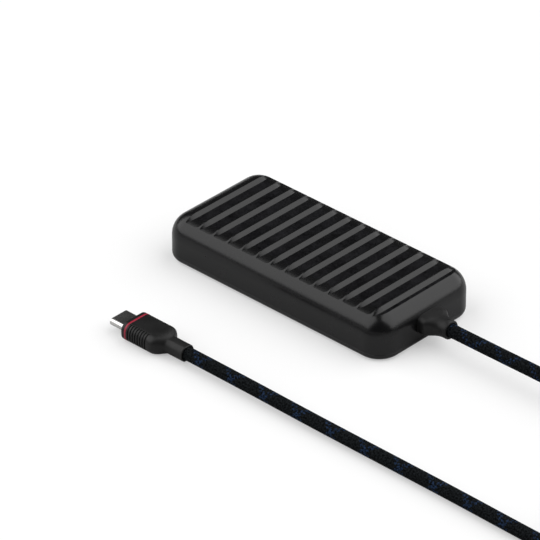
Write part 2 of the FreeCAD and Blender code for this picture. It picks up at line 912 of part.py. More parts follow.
def make_ferrule():
    x0 = plug_shell_end() + inner_mould_length
    bore = cord_diameter - 4 * ferrule_wall
    return ferrule_bar(0).cut(
        rod_x(x0 - 1, x0 + ferrule_length + 1, plug_middle_y, grip_middle_z, bore)
    )


def grip_form(x0, x1, grow):
    return bar_x(
        x0,
        x1,
        plug_middle_y,
        grip_middle_z,
        grip_width + 2 * grow,
        grip_height + 2 * grow,
        grip_side_round + grow,
    )


def round_section(x, width, height, corner):
    """Rounded rectangle square to X, about the plug's middle line."""
    half_y = width / 2 - corner
    half_z = height / 2 - corner
    edges = []
    turn = math.sqrt(0.5) * corner
    for sy, sz in ((1, -1), (1, 1), (-1, 1), (-1, -1)):
        cy = plug_middle_y + sy * half_y
        cz = grip_middle_z + sz * half_z
        first = Vector(x, cy, cz + sz * corner)
        last = Vector(x, cy + sy * corner, cz)
        if sy * sz > 0:
            first, last = last, first
        edges.append(Part.Arc(first, Vector(x, cy + sy * turn, cz + sz * turn), last).toShape())
    wire = []
    for arc, following in zip(edges, edges[1:] + edges[:1]):
        wire.append(arc)
        wire.append(
            Part.LineSegment(arc.Vertexes[-1].Point, following.Vertexes[0].Point).toShape()
        )
    return Part.Wire(wire)


def make_overmould():
    """Grip, shoulders that narrow to a round sleeve, ring groove and fine ribs on each side."""
    body_x = grip_front + grip_body_length
    sleeve_x = body_x + grip_shoulder_length
    grip = grip_form(grip_front, body_x, 0)
    nose = [e for e in grip.Edges if e.BoundBox.XMax < grip_front + 0.01]
    grip = grip.makeFillet(grip_nose_round, nose)
    sleeve_corner = grip_sleeve_diameter / 2 - min_flat
    sections = [round_section(body_x, grip_width, grip_height, grip_side_round)]
    for width, height, distance in shoulder_sections:
        sections.append(round_section(sleeve_x - distance, width, height, grip_side_round))
    sections.append(
        round_section(sleeve_x, grip_sleeve_diameter, grip_sleeve_diameter, sleeve_corner)
    )
    shoulder = Part.makeLoft(sections, True, False)
    sleeve = Part.Face(
        round_section(sleeve_x, grip_sleeve_diameter, grip_sleeve_diameter, sleeve_corner)
    ).extrude(Vector(grip_end - sleeve_x, 0, 0))
    body = fused([grip, shoulder, sleeve])
    ring_x = grip_front + grip_front_length
    groove = grip_form(ring_x, ring_x + grip_ring_length, 1.0)
    groove = groove.cut(grip_form(ring_x - 1, ring_x + grip_ring_length + 1, -grip_ring_depth))
    body = body.cut(groove)
    for side in (-1, 1):
        for i in range(grip_rib_count):
            x = grip_front + grip_rib_start + i * grip_rib_pitch
            y = plug_middle_y + side * (grip_width / 2 + grip_rib_depth)
            body = body.cut(
                centred_box(
                    (x, y, grip_middle_z), (grip_rib_width, 4 * grip_rib_depth, grip_rib_height)
                )
            )
    body = body.cut(stadium_x(grip_front - 1, plug_shell_end(), plug_shell_width, plug_shell_height))
    body = body.cut(inner_mould_block(0))
    return body.cut(ferrule_bar(0))


def make_ring():
    ring_x = grip_front + grip_front_length
    ring = grip_form(ring_x, ring_x + grip_ring_length, 0)
    return ring.cut(grip_form(ring_x - 1, ring_x + grip_ring_length + 1, -grip_ring_depth))


def cord_tube(name, route):
    """Straight runs joined by tangent arcs, as large as the runs beside each corner allow."""
    points = [Vector(*p) for p in route]
    edges = []
    radii = []
    last = points[0]
    for before, corner, after in zip(points, points[1:], points[2:]):
        back = before - corner
        ahead = after - corner
        turn = math.pi - back.getAngle(ahead)
        cut = 0.45 * min(back.Length, ahead.Length)
        radii.append(cut / math.tan(turn / 2))
        start = corner + back.normalize() * cut
        end = corner + ahead.normalize() * cut
        bisector = (back + ahead).normalize()
        centre = corner + bisector * (radii[-1] / math.cos(turn / 2))
        middle = centre - bisector * radii[-1]
        edges.append(Part.LineSegment(last, start).toShape())
        edges.append(Part.Arc(start, middle, end).toShape())
        last = end
    edges.append(Part.LineSegment(last, points[-1]).toShape())
    path = Part.Wire(edges)
    direction = points[1] - points[0]
    section = Part.Wire([Part.makeCircle(cord_radius, points[0], direction)])
    tube = path.makePipeShell([section], True, True)
    expected = math.pi * cord_radius**2 * path.Length
    print(name, "radii", [round(r, 1) for r in radii], "length", round(path.Length, 1))
    print(name, "volume", round(tube.Volume, 1), "expected", round(expected, 1))
    return tube


def coil_ring():
    """Outer shape of the wound turns, with the two straight tails that leave it."""
    outer = coil_outer_turn + cord_radius
    inner = coil_inner_turn - cord_radius - coil_dip
    middle = Vector(coil_middle_x, coil_middle_y, 0)
    ring = Part.makeCylinder(outer, coil_height, middle, Vector(0, 0, 1))
    ring = ring.cut(Part.makeCylinder(inner, coil_height, middle, Vector(0, 0, 1)))
    ring = ring.makeFillet(coil_round, [e for e in ring.Edges if e.Length > 2 * math.pi * inner - 0.01])
    tails = [
        rod_x(coil_start_x, coil_middle_x, 0, coil_top_line, cord_diameter),
        rod_x(coil_start_x, coil_middle_x, plug_middle_y, coil_base_line, cord_diameter),
    ]
    return fused([ring] + tails)


def tie_window():
    x0 = coil_middle_x + coil_inner_turn - cord_radius - coil_dip
    x1 = coil_middle_x + coil_outer_turn + cord_radius + fit_gap
    return x0, x1


def make_tie():
    """Hook-and-loop strap round the turns, on the side away from the case."""
    x0, x1 = tie_window()
    z1 = tie_thick + coil_height + tie_slack
    y = coil_middle_y
    outer = centred_box(
        ((x0 + x1) / 2, y, (z1 + tie_thick) / 2),
        (x1 - x0 + 2 * tie_thick, tie_width, z1 + tie_thick),
    )
    inner = centred_box(
        ((x0 + x1) / 2, y, (tie_thick + z1) / 2), (x1 - x0, 2 * tie_width, z1 - tie_thick)
    )
    across = [e for e in outer.Edges if e.BoundBox.YLength > tie_width / 2]
    outer = outer.makeFillet(tie_thick, across)
    return outer.cut(inner)


pieces["top_cover"] = make_top_cover()
pieces["bottom_cover"] = make_bottom_cover()
pieces["inlet_body"] = make_inlet_body()
pieces["inlet_pins"] = make_inlet_pins()
pieces["inlet_leads"] = make_inlet_leads()
pieces["main_board"] = make_main_board()
pieces["insulation_sheet"] = make_insulation_sheet()
pieces["bulk_capacitors"] = make_bulk_capacitors()
pieces["capacitor_leads"] = make_capacitor_leads()
core, bobbin, winding = make_transformer()
pieces["transformer_core"] = core
pieces["transformer_bobbin"] = bobbin
pieces["transformer_winding"] = winding
pieces["choke_core"], pieces["choke_windings"] = make_choke()
make_board_parts()
pieces["heat_spreader"], pieces["thermal_pad"] = make_heat_path()
pieces["cord_gland"] = make_gland()
pieces["output_wires"] = make_output_wires()
pieces["plug_shell"] = make_plug_shell()
pieces["plug_insulator"] = make_plug_insulator()
pieces["plug_contacts"] = contact_rows()
pieces["plug_board"] = make_plug_board()
pieces["plug_inner_mould"] = make_inner_mould()
pieces["cord_ferrule"] = make_ferrule()
pieces["plug_overmould"] = make_overmould()
pieces["plug_ring"] = make_ring()
pieces["cord_body_run"] = cord_tube("cord_body_run", body_run)
pieces["cord_plug_run"] = cord_tube("cord_plug_run", plug_run)
pieces["cord_tie"] = make_tie()
pieces["cord_coil"] = coil_ring().cut(pieces["cord_tie"])

os.makedirs("parts", exist_ok=True)
for name, shape in pieces.items():
    shape.exportStep("parts/" + name + ".step")
    print(name, len(shape.Solids), "solids", round(shape.Volume, 1), "mm3", shape.isValid())
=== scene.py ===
import math

import bmesh
import bpy
from mathutils import Matrix, Vector


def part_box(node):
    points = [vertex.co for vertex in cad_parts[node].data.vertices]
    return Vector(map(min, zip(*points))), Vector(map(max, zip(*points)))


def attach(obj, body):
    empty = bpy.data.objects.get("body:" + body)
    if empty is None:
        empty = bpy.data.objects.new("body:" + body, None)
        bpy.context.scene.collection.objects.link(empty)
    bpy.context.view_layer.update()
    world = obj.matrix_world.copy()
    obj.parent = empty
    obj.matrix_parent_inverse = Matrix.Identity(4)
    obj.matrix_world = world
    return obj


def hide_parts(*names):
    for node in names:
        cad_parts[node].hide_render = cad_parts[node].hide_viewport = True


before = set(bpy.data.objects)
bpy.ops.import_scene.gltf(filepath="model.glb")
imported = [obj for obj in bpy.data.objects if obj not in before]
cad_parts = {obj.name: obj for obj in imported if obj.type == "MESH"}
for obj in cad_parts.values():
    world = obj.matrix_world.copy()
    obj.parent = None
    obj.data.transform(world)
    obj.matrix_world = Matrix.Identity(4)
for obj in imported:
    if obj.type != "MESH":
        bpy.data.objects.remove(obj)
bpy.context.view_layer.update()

print("frame loaded:", len(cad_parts), "nodes")


def mm(value):
    return value / 1000.0


clear = mm(1.0)                   # how far a cutter stands out past what it cuts
near = 1e-6                       # places closer than this, in metres, count as one
facing = 0.99                     # a face looks along an axis if this much of its normal does
straight = 0.9                    # an edge runs along an axis if this much of its direction does


def toLinear(text):
    # sRGB hex, such as "#1b1b1d", by the sRGB curve to the linear values that the shaders take
    parts = [int(text[i:i + 2], 16) / 255.0 for i in (1, 3, 5)]
    return tuple(c / 12.92 if c <= 0.04045 else ((c + 0.055) / 1.055) ** 2.4 for c in parts) + (1.0,)


def addNode(tree, kind, settings=None, links=None):
    # a setting is one of the node's own properties, or else a value on the socket of that name or number
    node = tree.nodes.new(kind)
    for key, value in (settings or {}).items():
        if isinstance(key, str) and hasattr(node, key):
            setattr(node, key, value)
        else:
            node.inputs[key].default_value = value
    for key, source in (links or {}).items():
        tree.links.new(source, node.inputs[key])
    return node


def newMaterial(name):
    material = bpy.data.materials.new(name)
    material.use_nodes = True
    material.node_tree.nodes.clear()
    return material, material.node_tree


camera = {
    "lens": 326.7,                # mm on the sensor below: a long lens from far away
    "sensor": 36.0,
    "azimuth": 43.21,             # degrees from straight in front towards +X
    "elevation": 32.54,
    "distance": 1.5777,
    "aimRight": 47.8,             # how far right and down of the frame's middle the case falls,
    "aimDown": -8.27,             # in 540ths of the frame's width
    "lensInFrame": 4900.0,        # the lens in the same units
    "middleHeight": mm(8.1),      # half the height of the case
    "clipNear": 0.05, "clipFar": 30.0,
}


def makeCamera():
    turn, tilt = math.radians(camera["azimuth"]), math.radians(camera["elevation"])
    back = Vector((math.sin(turn) * math.cos(tilt), -math.cos(turn) * math.cos(tilt), math.sin(tilt)))
    right = Vector((math.cos(turn), math.sin(turn), 0.0))
    up = back.cross(right)
    reach = camera["distance"]
    place = back * reach - right * (camera["aimRight"] * reach / camera["lensInFrame"])
    place += up * (camera["aimDown"] * reach / camera["lensInFrame"])
    place.z += camera["middleHeight"]
    data = bpy.data.cameras.new("camera")
    data.lens = camera["lens"]
    data.sensor_width = camera["sensor"]
    data.clip_start, data.clip_end = camera["clipNear"], camera["clipFar"]
    seen = bpy.data.objects.new("camera", data)
    bpy.context.scene.collection.objects.link(seen)
    seen.matrix_world = Matrix((
        (right.x, up.x, back.x, place.x),
        (right.y, up.y, back.y, place.y),
        (right.z, up.z, back.z, place.z),
        (0.0, 0.0, 0.0, 1.0),
    ))
    bpy.context.scene.camera = seen


makeCamera()
print("camera placed")


def deselectAll():
    if bpy.context.object is not None and bpy.context.object.mode != "OBJECT":
        bpy.ops.object.mode_set(mode="OBJECT")
    bpy.ops.object.select_all(action="DESELECT")
    bpy.context.view_layer.objects.active = None


def makeActive(piece):
    deselectAll()
    piece.select_set(True)
    bpy.context.view_layer.objects.active = piece


def settle(piece, name):
    # put the place into the mesh, so that the object sits at the origin
    makeActive(piece)
    bpy.ops.object.transform_apply(location=True, rotation=True, scale=True)
    piece.name = name
    piece.data.name = name
    return piece


def block(name, low, high):
    deselectAll()
    middle = (Vector(low) + Vector(high)) / 2
    size = Vector(high) - Vector(low)
    bpy.ops.mesh.primitive_cube_add(size=1.0, location=middle, scale=size)
    return settle(bpy.context.object, name)


def openMesh(piece):
    makeActive(piece)
    bpy.ops.object.mode_set(mode="EDIT")
    bpy.ops.mesh.select_all(action="DESELECT")


def closeMesh():
    bpy.ops.object.mode_set(mode="OBJECT")


def pickEdges(piece, test):
    # test takes an edge's middle, its direction and the edge itself
    bpy.ops.mesh.select_mode(type="EDGE")
    bpy.ops.mesh.select_all(action="DESELECT")
    shape = bmesh.from_edit_mesh(piece.data)
    for edge in shape.edges:
        a, b = edge.verts[0].co, edge.verts[1].co
        if a != b and test((a + b) / 2, (b - a).normalized(), edge):
            edge.select_set(True)
    shape.select_flush_mode()
    bmesh.update_edit_mesh(piece.data)


def pickFaces(piece, test):
    # test takes a face's middle and its normal
    bpy.ops.mesh.select_mode(type="FACE")
    bpy.ops.mesh.select_all(action="DESELECT")
    shape = bmesh.from_edit_mesh(piece.data)
    for face in shape.faces:
        if test(face.calc_center_median(), face.normal):
            face.select_set(True)
    shape.select_flush_mode()
    bmesh.update_edit_mesh(piece.data)


def rollEdges(piece, test, offset, steps, clamp=False):
    # round over the edges that pass the test
    pickEdges(piece, test)
    bpy.ops.mesh.bevel(offset=offset, segments=steps, profile=0.5, affect="EDGES", clamp_overlap=clamp)


def upright(direction):
    return abs(direction.z) > straight


def alongX(direction):
    return abs(direction.x) > straight


def levelAt(middle, direction, height):
    return abs(middle.z - height) < near and abs(direction.z) < near


def sharp(edge):
    # an outer edge whose faces turn by more than a radian
    return edge.is_convex and edge.calc_face_angle(0.0) > 1.0


def combine(piece, other, operation):
    # work the other piece into this one for good, and remove it
    makeActive(piece)
    change = piece.modifiers.new("combine", "BOOLEAN")
    change.operation = operation
    change.solver = "EXACT"
    change.object = other
    bpy.ops.object.modifier_apply(modifier=change.name)
    bpy.data.objects.remove(other)


def cutBy(piece, cutters):
    for cutter in cutters:
        combine(piece, cutter, "DIFFERENCE")


def smooth(piece, degrees):
    # edges that turn by more than this stay crisp
    makeActive(piece)
    bpy.ops.object.shade_smooth_by_angle(angle=math.radians(degrees))


def stand(piece, slot, *nodes):
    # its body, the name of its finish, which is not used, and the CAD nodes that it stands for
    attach(piece, "root")
    if nodes:
        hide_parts(*nodes)


cord = {
    "thick": mm(4.5),
    "gland": Vector((0.0574, 0.0, 0.0074)),
    "plugEnd": Vector((0.0015, -0.0619, 0.00325)),
    "recess": mm(0.8),            # how deep the cord's ends sit in the gland and in the grip
    # points on the way from the gland to the coil, and from the coil to the plug, in mm like the coil's
    "bodyRun": [(75.0, 0.0, 7.4), (100.0, 0.4, 7.3), (121.0, 0.3, 6.3), (140.0, 0.0, 6.8), (158.0, 0.0, 6.8)],
    "plugRun": [(158.0, -61.9, 2.3), (141.0, -61.9, 2.3), (112.0, -61.4, 2.3), (80.0, -61.5, 2.4),
                (52.0, -61.8, 2.75), (26.0, -61.9, 3.25)],
    "coilMiddle": (178.0, -30.95),
    "outerTurn": 30.95,           # radius of the outermost turn
    "lowLine": 2.3,               # heights of the two layers
    "highLine": 6.8,
    "turnsEachLayer": 3,
    "extraTurns": 1.5,            # one that changes layer, and the last half out to the plug's run
    "dropAfter": 0.15,            # how far round the changing turn the cord starts down
    "dropTakes": 0.7,             # and how much of that turn it takes
    "innerDraw": 2.0,             # how far that turn is drawn in
    "overStrap": 1.15,            # lift where the strap passes under the turns
    "strapSpread": 60.0,          # degrees to either side over which the lift fades
    "strapEase": 1.2,             # above 1 it fades faster near the strap
    "perTurn": 16,                # control points in each turn
    "drawIn": 0.981,              # a quadratic spline runs this far inside its points
    "fineness": 12,               # steps between control points
    "around": 24,                 # faces round the tube
}


def coilPoints():
    # in on the upper layer, down at the innermost turn, and out again on the lower one
    cx, cy = cord["coilMiddle"]
    step = cord["thick"] * 1000.0
    layer = cord["turnsEachLayer"]
    inner = cord["outerTurn"] - layer * step
    total = 2 * layer + cord["extraTurns"]
    points = []
    count = int(total * cord["perTurn"])
    for i in range(count + 1):
        turn = i / cord["perTurn"]
        if turn <= layer:
            radius, height = cord["outerTurn"] - turn * step, cord["highLine"]
        elif turn <= layer + 1:
            part = turn - layer
            ease = min(max((part - cord["dropAfter"]) / cord["dropTakes"], 0.0), 1.0)
            ease = ease * ease * (3.0 - 2.0 * ease)      # starts and ends gently
            radius = inner - cord["innerDraw"] * math.sin(math.pi * part)
            height = cord["highLine"] + (cord["lowLine"] - cord["highLine"]) * ease
        elif turn <= 2 * layer + 1:
            radius, height = inner + (turn - layer - 1) * step, cord["lowLine"]
        else:
            radius, height = cord["outerTurn"], cord["lowLine"]
        angle = math.pi / 2 - turn * 2 * math.pi
        off = abs((math.degrees(angle) + 180.0) % 360.0 - 180.0)     # degrees away from the strap
        lift = cord["overStrap"] * max(0.0, 1.0 - off / cord["strapSpread"]) ** cord["strapEase"]
        reach = radius / cord["drawIn"]
        points.append((cx + reach * math.cos(angle), cy + reach * math.sin(angle), height + lift))
    return points


def makeCordLine():
    start = cord["gland"] - Vector((cord["recess"], 0, 0))
    end = cord["plugEnd"] - Vector((cord["recess"], 0, 0))
    between = cord["bodyRun"] + coilPoints() + cord["plugRun"]
    points = [start] + [Vector(p) / 1000.0 for p in between] + [end]
    data = bpy.data.curves.new("cordLine", "CURVE")
    data.dimensions = "3D"
    data.resolution_u = cord["fineness"]
    spline = data.splines.new("NURBS")
    spline.points.add(len(points) - 1)
    for target, p in zip(spline.points, points):
        target.co = (p.x, p.y, p.z, 1.0)
    spline.order_u = 3            # quadratic
    spline.use_endpoint_u = True
    line = bpy.data.objects.new("cordLine", data)
    bpy.context.scene.collection.objects.link(line)
    bpy.context.view_layer.update()
    drawn = bpy.data.meshes.new_from_object(line.evaluated_get(bpy.context.evaluated_depsgraph_get()))
    path = []
    for vert in drawn.vertices:
        if not path or (vert.co - path[-1]).length > near:
            path.append(vert.co.copy())
    bpy.data.objects.remove(line)
    return path


def makeCord():
    # a tube along the line, with a map of metres along it and turns round it for the braid
    path = makeCordLine()
    radius, around = cord["thick"] / 2, cord["around"]
    verts, along, length = [], [], 0.0
    side = Vector((0, 0, 1))
    for i, point in enumerate(path):
        ahead = path[min(i + 1, len(path) - 1)] - path[max(i - 1, 0)]
        ahead.normalize()
        side = (side - ahead * side.dot(ahead)).normalized()
        other = ahead.cross(side)
        if i:
            length += (point - path[i - 1]).length
        along.append(length)
        for k in range(around):
            angle = 2 * math.pi * k / around
            verts.append(point + (side * math.cos(angle) + other * math.sin(angle)) * radius)
    faces, mapped = [], []
    for i in range(len(path) - 1):
        for k in range(around):
            nextK = (k + 1) % around
            here, beyond = i * around, (i + 1) * around
            faces.append((here + k, here + nextK, beyond + nextK, beyond + k))
            mapped += [(along[i], k / around), (along[i], (k + 1) / around),
                       (along[i + 1], (k + 1) / around), (along[i + 1], k / around)]
    # a fan closes each end
    first, last = len(verts), len(verts) + 1
    verts += [path[0], path[-1]]
    base = (len(path) - 1) * around
    for k in range(around):
        nextK = (k + 1) % around
        faces.append((first, nextK, k))
        mapped += [(0.0, 0.0)] * 3
        faces.append((last, base + k, base + nextK))
        mapped += [(length, 0.0)] * 3
    mesh = bpy.data.meshes.new("braidedCord")
    mesh.from_pydata(verts, [], faces)
    layer = mesh.uv_layers.new(name="braidMap")
    for loop, uv in zip(layer.data, mapped):
        loop.uv = uv
    mesh.update()
    piece = bpy.data.objects.new("braidedCord", mesh)
    bpy.context.scene.collection.objects.link(piece)
    smooth(piece, degrees=60.0)
    stand(piece, "braided_sheath", "cord_body_run", "cord_coil", "cord_plug_run")
    print("cord length", round(length, 4))
    return piece, path, length


braidedCord, cordPath, cordLength = makeCord()

caseShape = {
    "corner": mm(8.0), "topRound": mm(7.8), "baseRound": mm(2.2),
    "cornerSteps": 14, "topSteps": 18, "baseSteps": 8,
    "wall": mm(1.8), "roof": mm(2.4),
    "parting": mm(2.4),           # height of the line where the two covers meet
    "edge": mm(0.06),             # how far the edges at that line are softened
    "height": mm(16.2), "halfWidth": mm(22.75),
    # the figure-8 opening for the inlet, and the oval one for the gland's neck
    "inletHeight": mm(7.1), "inletLobe": mm(8.7), "inletPitch": mm(6.6), "inletWaist": mm(7.0),
    "glandHeight": mm(7.4), "glandWidth": mm(9.8), "glandTall": mm(5.2),
}
pocket = {
    "count": 14, "pitch": mm(6.25), "depth": mm(0.9),
    "first": mm(9.2),             # from the inlet's end to where the first floor begins
    "slope": mm(1.5), "back": mm(0.2),      # how far the gentle and the steep side lean
    "crest": mm(0.5),             # what is left flat between two pockets
    "reach": mm(19.6),            # from the middle line to the rounded ends, down on the rolled edges
    "overrun": mm(0.6),           # how far the cutter goes past that before it is trimmed
    "corner": mm(1.5), "slopeCorner": mm(0.5), "cornerSteps": 8,
    "runOut": mm(15.5),           # radius of the arc in which the floor runs out
    "steps": 18,                  # sections along that arc
    "crestLip": mm(0.38), "crestLipSteps": 5, "lip": mm(0.1), "lipSteps": 2,
    "rimAngle": 20.0,             # degrees: a rim turns by more than this
    "rimSlack": mm(0.05), "crestSlack": mm(0.02), "reachSlack": mm(0.4),    # how near a rim's edges lie
    "floorSlack": mm(0.04),       # a face this near the full depth is floor
}


def roundedBlock(name, low, high, corner, topRound, baseRound):
    # a cube whose upright edges, then top and foot, are rolled over
    piece = block(name, low, high)
    openMesh(piece)
    rollEdges(piece, lambda m, d, e: upright(d), corner, caseShape["cornerSteps"])
    if topRound:
        rollEdges(piece, lambda m, d, e: levelAt(m, d, high[2]), topRound, caseShape["topSteps"])
    if baseRound:
        rollEdges(piece, lambda m, d, e: levelAt(m, d, low[2]), baseRound, caseShape["baseSteps"])
    closeMesh()
    return piece


def pocketCutter():
    # a slope, a floor and a steep side; past the flat the floor runs out in a gentle arc to meet
    # the rolled edge, so the slope narrows to a point there
    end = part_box("top_cover")[0].x
    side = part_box("top_cover")[1].y - caseShape["topRound"]
    crest = end + pocket["first"] - pocket["slope"]
    far = crest + pocket["pitch"] - pocket["crest"]
    top, deep = caseShape["height"], pocket["depth"]
    piece = block("pocketCutter", (crest, -side, top - deep), (far, side, top + deep))

    def fit(ring, out):
        # ring is four corners of a section that lies out past the flat
        surface = top - caseShape["topRound"] + math.sqrt(caseShape["topRound"] ** 2 - out ** 2)
        floor = top - deep - out ** 2 / (2 * pocket["runOut"])
        lean = (surface - floor) / deep
        between = sum(v.co.z for v in ring) / len(ring)
        for v in ring:
            low, left = v.co.z < between, v.co.x < (crest + far) / 2
            rise = -lean if low else 1.0
            v.co.z = floor if low else surface + deep
            v.co.x = crest - rise * pocket["slope"] if left else far + rise * pocket["back"]

    openMesh(piece)
    shape = bmesh.from_edit_mesh(piece.data)
    fit(list(shape.verts), 0.0)
    bmesh.update_edit_mesh(piece.data)
    past = pocket["reach"] + pocket["overrun"] - side
    for way in (-1, 1):
        pickFaces(piece, lambda c, n: n.y * way > facing)
        for i in range(1, pocket["steps"] + 1):
            move = (0, way * past / pocket["steps"], 0)
            bpy.ops.mesh.extrude_region_move(TRANSFORM_OT_translate={"value": move})
            shape = bmesh.from_edit_mesh(piece.data)
            fit([v for v in shape.verts if v.select], past * i / pocket["steps"])
            bmesh.update_edit_mesh(piece.data)
    bpy.ops.mesh.select_all(action="SELECT")
    bpy.ops.mesh.normals_make_consistent(inside=False)
    closeMesh()
    # trimmed to its outline as seen from above, with rounded corners
    plan = block("pocketPlan", (crest, -pocket["reach"], top - caseShape["topRound"]),
                 (far, pocket["reach"], top + deep + clear))
    openMesh(plan)
    for x, radius in ((far, pocket["corner"]), (crest, pocket["slopeCorner"])):
        rollEdges(plan, lambda m, d, e: upright(d) and abs(m.x - x) < near, radius, pocket["cornerSteps"])
    closeMesh()
    combine(piece, plan, "INTERSECT")
    return piece


def copyOf(piece, shift):
    twin = piece.copy()
    twin.data = piece.data.copy()
    bpy.context.scene.collection.objects.link(twin)
    twin.data.transform(Matrix.Translation(shift))
    return twin


def joined(pieces, name):
    deselectAll()
    for piece in pieces:
        piece.select_set(True)
    bpy.context.view_layer.objects.active = pieces[0]
    bpy.ops.object.join()
    pieces[0].name = name
    return pieces[0]


def rodX(name, x0, x1, y, z, width):
    deselectAll()
    bpy.ops.mesh.primitive_cylinder_add(
        vertices=48, radius=width / 2, depth=x1 - x0,
        location=((x0 + x1) / 2, y, z), rotation=(0, math.pi / 2, 0),
    )
    return settle(bpy.context.object, name)


def ovalX(name, x0, x1, y, z, width, height):
    # a bar along X with round sides
    piece = block(name, (x0, y - width / 2, z - height / 2), (x1, y + width / 2, z + height / 2))
    openMesh(piece)
    justUnder = 0.999             # a full half height would make the two rolls meet in one edge
    rollEdges(piece, lambda m, d, e: alongX(d), height / 2 * justUnder, steps=14)
    closeMesh()
    return piece


def inletCutters(x0, x1):
    # two round lobes and the waist between them
    z = caseShape["inletHeight"]
    half, halfWaist = caseShape["inletPitch"] / 2, caseShape["inletWaist"] / 2
    return [
        rodX("lobeCutter", x0, x1, -half, z, caseShape["inletLobe"]),
        rodX("lobeCutter", x0, x1, half, z, caseShape["inletLobe"]),
        block("waistCutter", (x0, -half, z - halfWaist), (x1, half, z + halfWaist)),
    ]


def makeTopCover():
    low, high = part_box("top_cover")
    wall, topRound = caseShape["wall"], caseShape["topRound"]
    parting, height = caseShape["parting"], caseShape["height"]
    cover = roundedBlock("topCover", (low.x, low.y, parting), (high.x, high.y, height),
                         caseShape["corner"], topRound, 0)
    room = roundedBlock("coverRoom", (low.x + wall, low.y + wall, -clear),
                        (high.x - wall, high.y - wall, height - caseShape["roof"]),
                        caseShape["corner"] - wall, topRound - wall, 0)
    first = pocketCutter()
    cutters = [first]
    for i in range(1, pocket["count"]):
        cutters.append(copyOf(first, Vector((i * pocket["pitch"], 0, 0))))
    cutBy(cover, [room, joined(cutters, "pocketCutters")])
    cutBy(cover, inletCutters(low.x - clear, low.x + wall + clear))
    neck = ovalX("neckCutter", high.x - wall - clear, high.x + clear, 0.0, caseShape["glandHeight"],
                 caseShape["glandWidth"], caseShape["glandTall"])
    cutBy(cover, [neck])

    def onRim(m, e):
        turns = e.is_convex and e.calc_face_angle(0.0) >= math.radians(pocket["rimAngle"])
        if not turns or abs(m.y) > pocket["reach"] + pocket["reachSlack"]:
            return False
        down = max(abs(m.y) - (high.y - topRound), 0.0)
        drop = topRound - math.sqrt(topRound ** 2 - down ** 2)
        return abs(m.z - height + drop) < pocket["rimSlack"] and m.x < high.x - topRound

    def onCrest(m):
        along = (m.x - low.x - pocket["first"] + pocket["slope"]) / pocket["pitch"]
        return abs(along - round(along)) * pocket["pitch"] < pocket["crestSlack"]

    # soften the pockets' upper rims, as a mould leaves them, most of all where the slope begins
    openMesh(cover)
    rollEdges(cover, lambda m, d, e: onRim(m, e) and onCrest(m), pocket["crestLip"],
              pocket["crestLipSteps"], clamp=True)
    rollEdges(cover, lambda m, d, e: onRim(m, e), pocket["lip"], pocket["lipSteps"], clamp=True)
    rollEdges(cover, lambda m, d, e: levelAt(m, d, parting) and sharp(e), caseShape["edge"], steps=1)
    closeMesh()
    smooth(cover, degrees=24.0)
    stand(cover, "case_plastic", "top_cover")
    return cover


topCover = makeTopCover()
print("top cover", len(topCover.data.polygons), "faces")

tray = {
    "ledge": mm(1.9),             # the flat round its rim that the top cover stands on
    "lipHeight": mm(1.6), "lipWall": mm(1.0),        # the lip that goes into the top cover
    "wellDepth": mm(2.2),         # from the lip's top down to the floor
    # cut out of the lip to leave room for the inlet and for the gland, each measured from its end
    "inletFrom": mm(1.7), "inletTo": mm(14.2), "inletHalf": mm(8.6), "inletFloor": mm(1.85),
    "glandFrom": mm(1.8), "glandTo": mm(5.0), "glandHalf": mm(6.6),
    "roomTop": mm(5.0),
}


def makeBottomCover():
    low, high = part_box("bottom_cover")
    parting = caseShape["parting"]
    piece = roundedBlock("bottomCover", (low.x, low.y, 0.0), (high.x, high.y, parting),
                         caseShape["corner"], 0, caseShape["baseRound"])
    openMesh(piece)
    pickFaces(piece, lambda c, n: n.z > facing)
    for inwards, upwards in ((tray["ledge"], tray["lipHeight"]), (tray["lipWall"], -tray["wellDepth"])):
        bpy.ops.mesh.inset(thickness=inwards)
        bpy.ops.mesh.extrude_region_move(TRANSFORM_OT_translate={"value": (0, 0, upwards)})
    rollEdges(piece, lambda m, d, e: levelAt(m, d, parting) and sharp(e), caseShape["edge"], steps=1)
    closeMesh()
    inletRoom = block("inletRoom", (low.x + tray["inletFrom"], -tray["inletHalf"], tray["inletFloor"]),
                      (low.x + tray["inletTo"], tray["inletHalf"], tray["roomTop"]))
    glandRoom = block("glandRoom", (high.x - tray["glandTo"], -tray["glandHalf"], parting),
                      (high.x - tray["glandFrom"], tray["glandHalf"], tray["roomTop"]))
    cutBy(piece, [inletRoom, glandRoom])
    smooth(piece, degrees=32.0)
    stand(piece, "case_plastic", "bottom_cover")
    return piece


bottomCover = makeBottomCover()
print("bottom cover", len(bottomCover.data.polygons), "faces")

gland = {
    "height": mm(7.4), "sides": 64,
    # each ring's place along X, width and height in mm, and how square it is: 2 is an oval
    "rings": [(47.5, 11.5, 6.6, 4.2), (49.0, 11.5, 6.6, 4.2), (50.4, 11.45, 6.6, 4.0),
              (50.9, 11.1, 6.58, 3.8), (51.5, 10.1, 6.52, 3.4), (52.2, 8.9, 6.46, 3.0),
              (53.0, 7.75, 6.42, 2.6), (53.9, 6.9, 6.4, 2.3), (54.8, 6.45, 6.4, 2.1),
              (55.6, 6.4, 6.4, 2.0), (57.15, 6.4, 6.4, 2.0)],
    "rim": mm(0.22), "rimTaper": 0.8, "hole": mm(5.05), "recess": mm(0.9),
    # start, end, width and height in mm of the neck through the wall and the flange behind it
    "neck": (45.2, 47.55, 9.6, 5.0), "flange": (44.0, 45.2, 12.6, 7.2),
}


def ringMesh(name, x, y, z, width, height, sides):
    # a flat round, drawn out to an oval, to be extruded along X
    deselectAll()
    bpy.ops.mesh.primitive_circle_add(
        vertices=sides, radius=0.5, fill_type="NGON", location=(x, y, z), rotation=(0, math.pi / 2, 0),
    )
    bpy.ops.transform.resize(value=(1, width, height), center_override=(x, y, z))
    return settle(bpy.context.object, name)


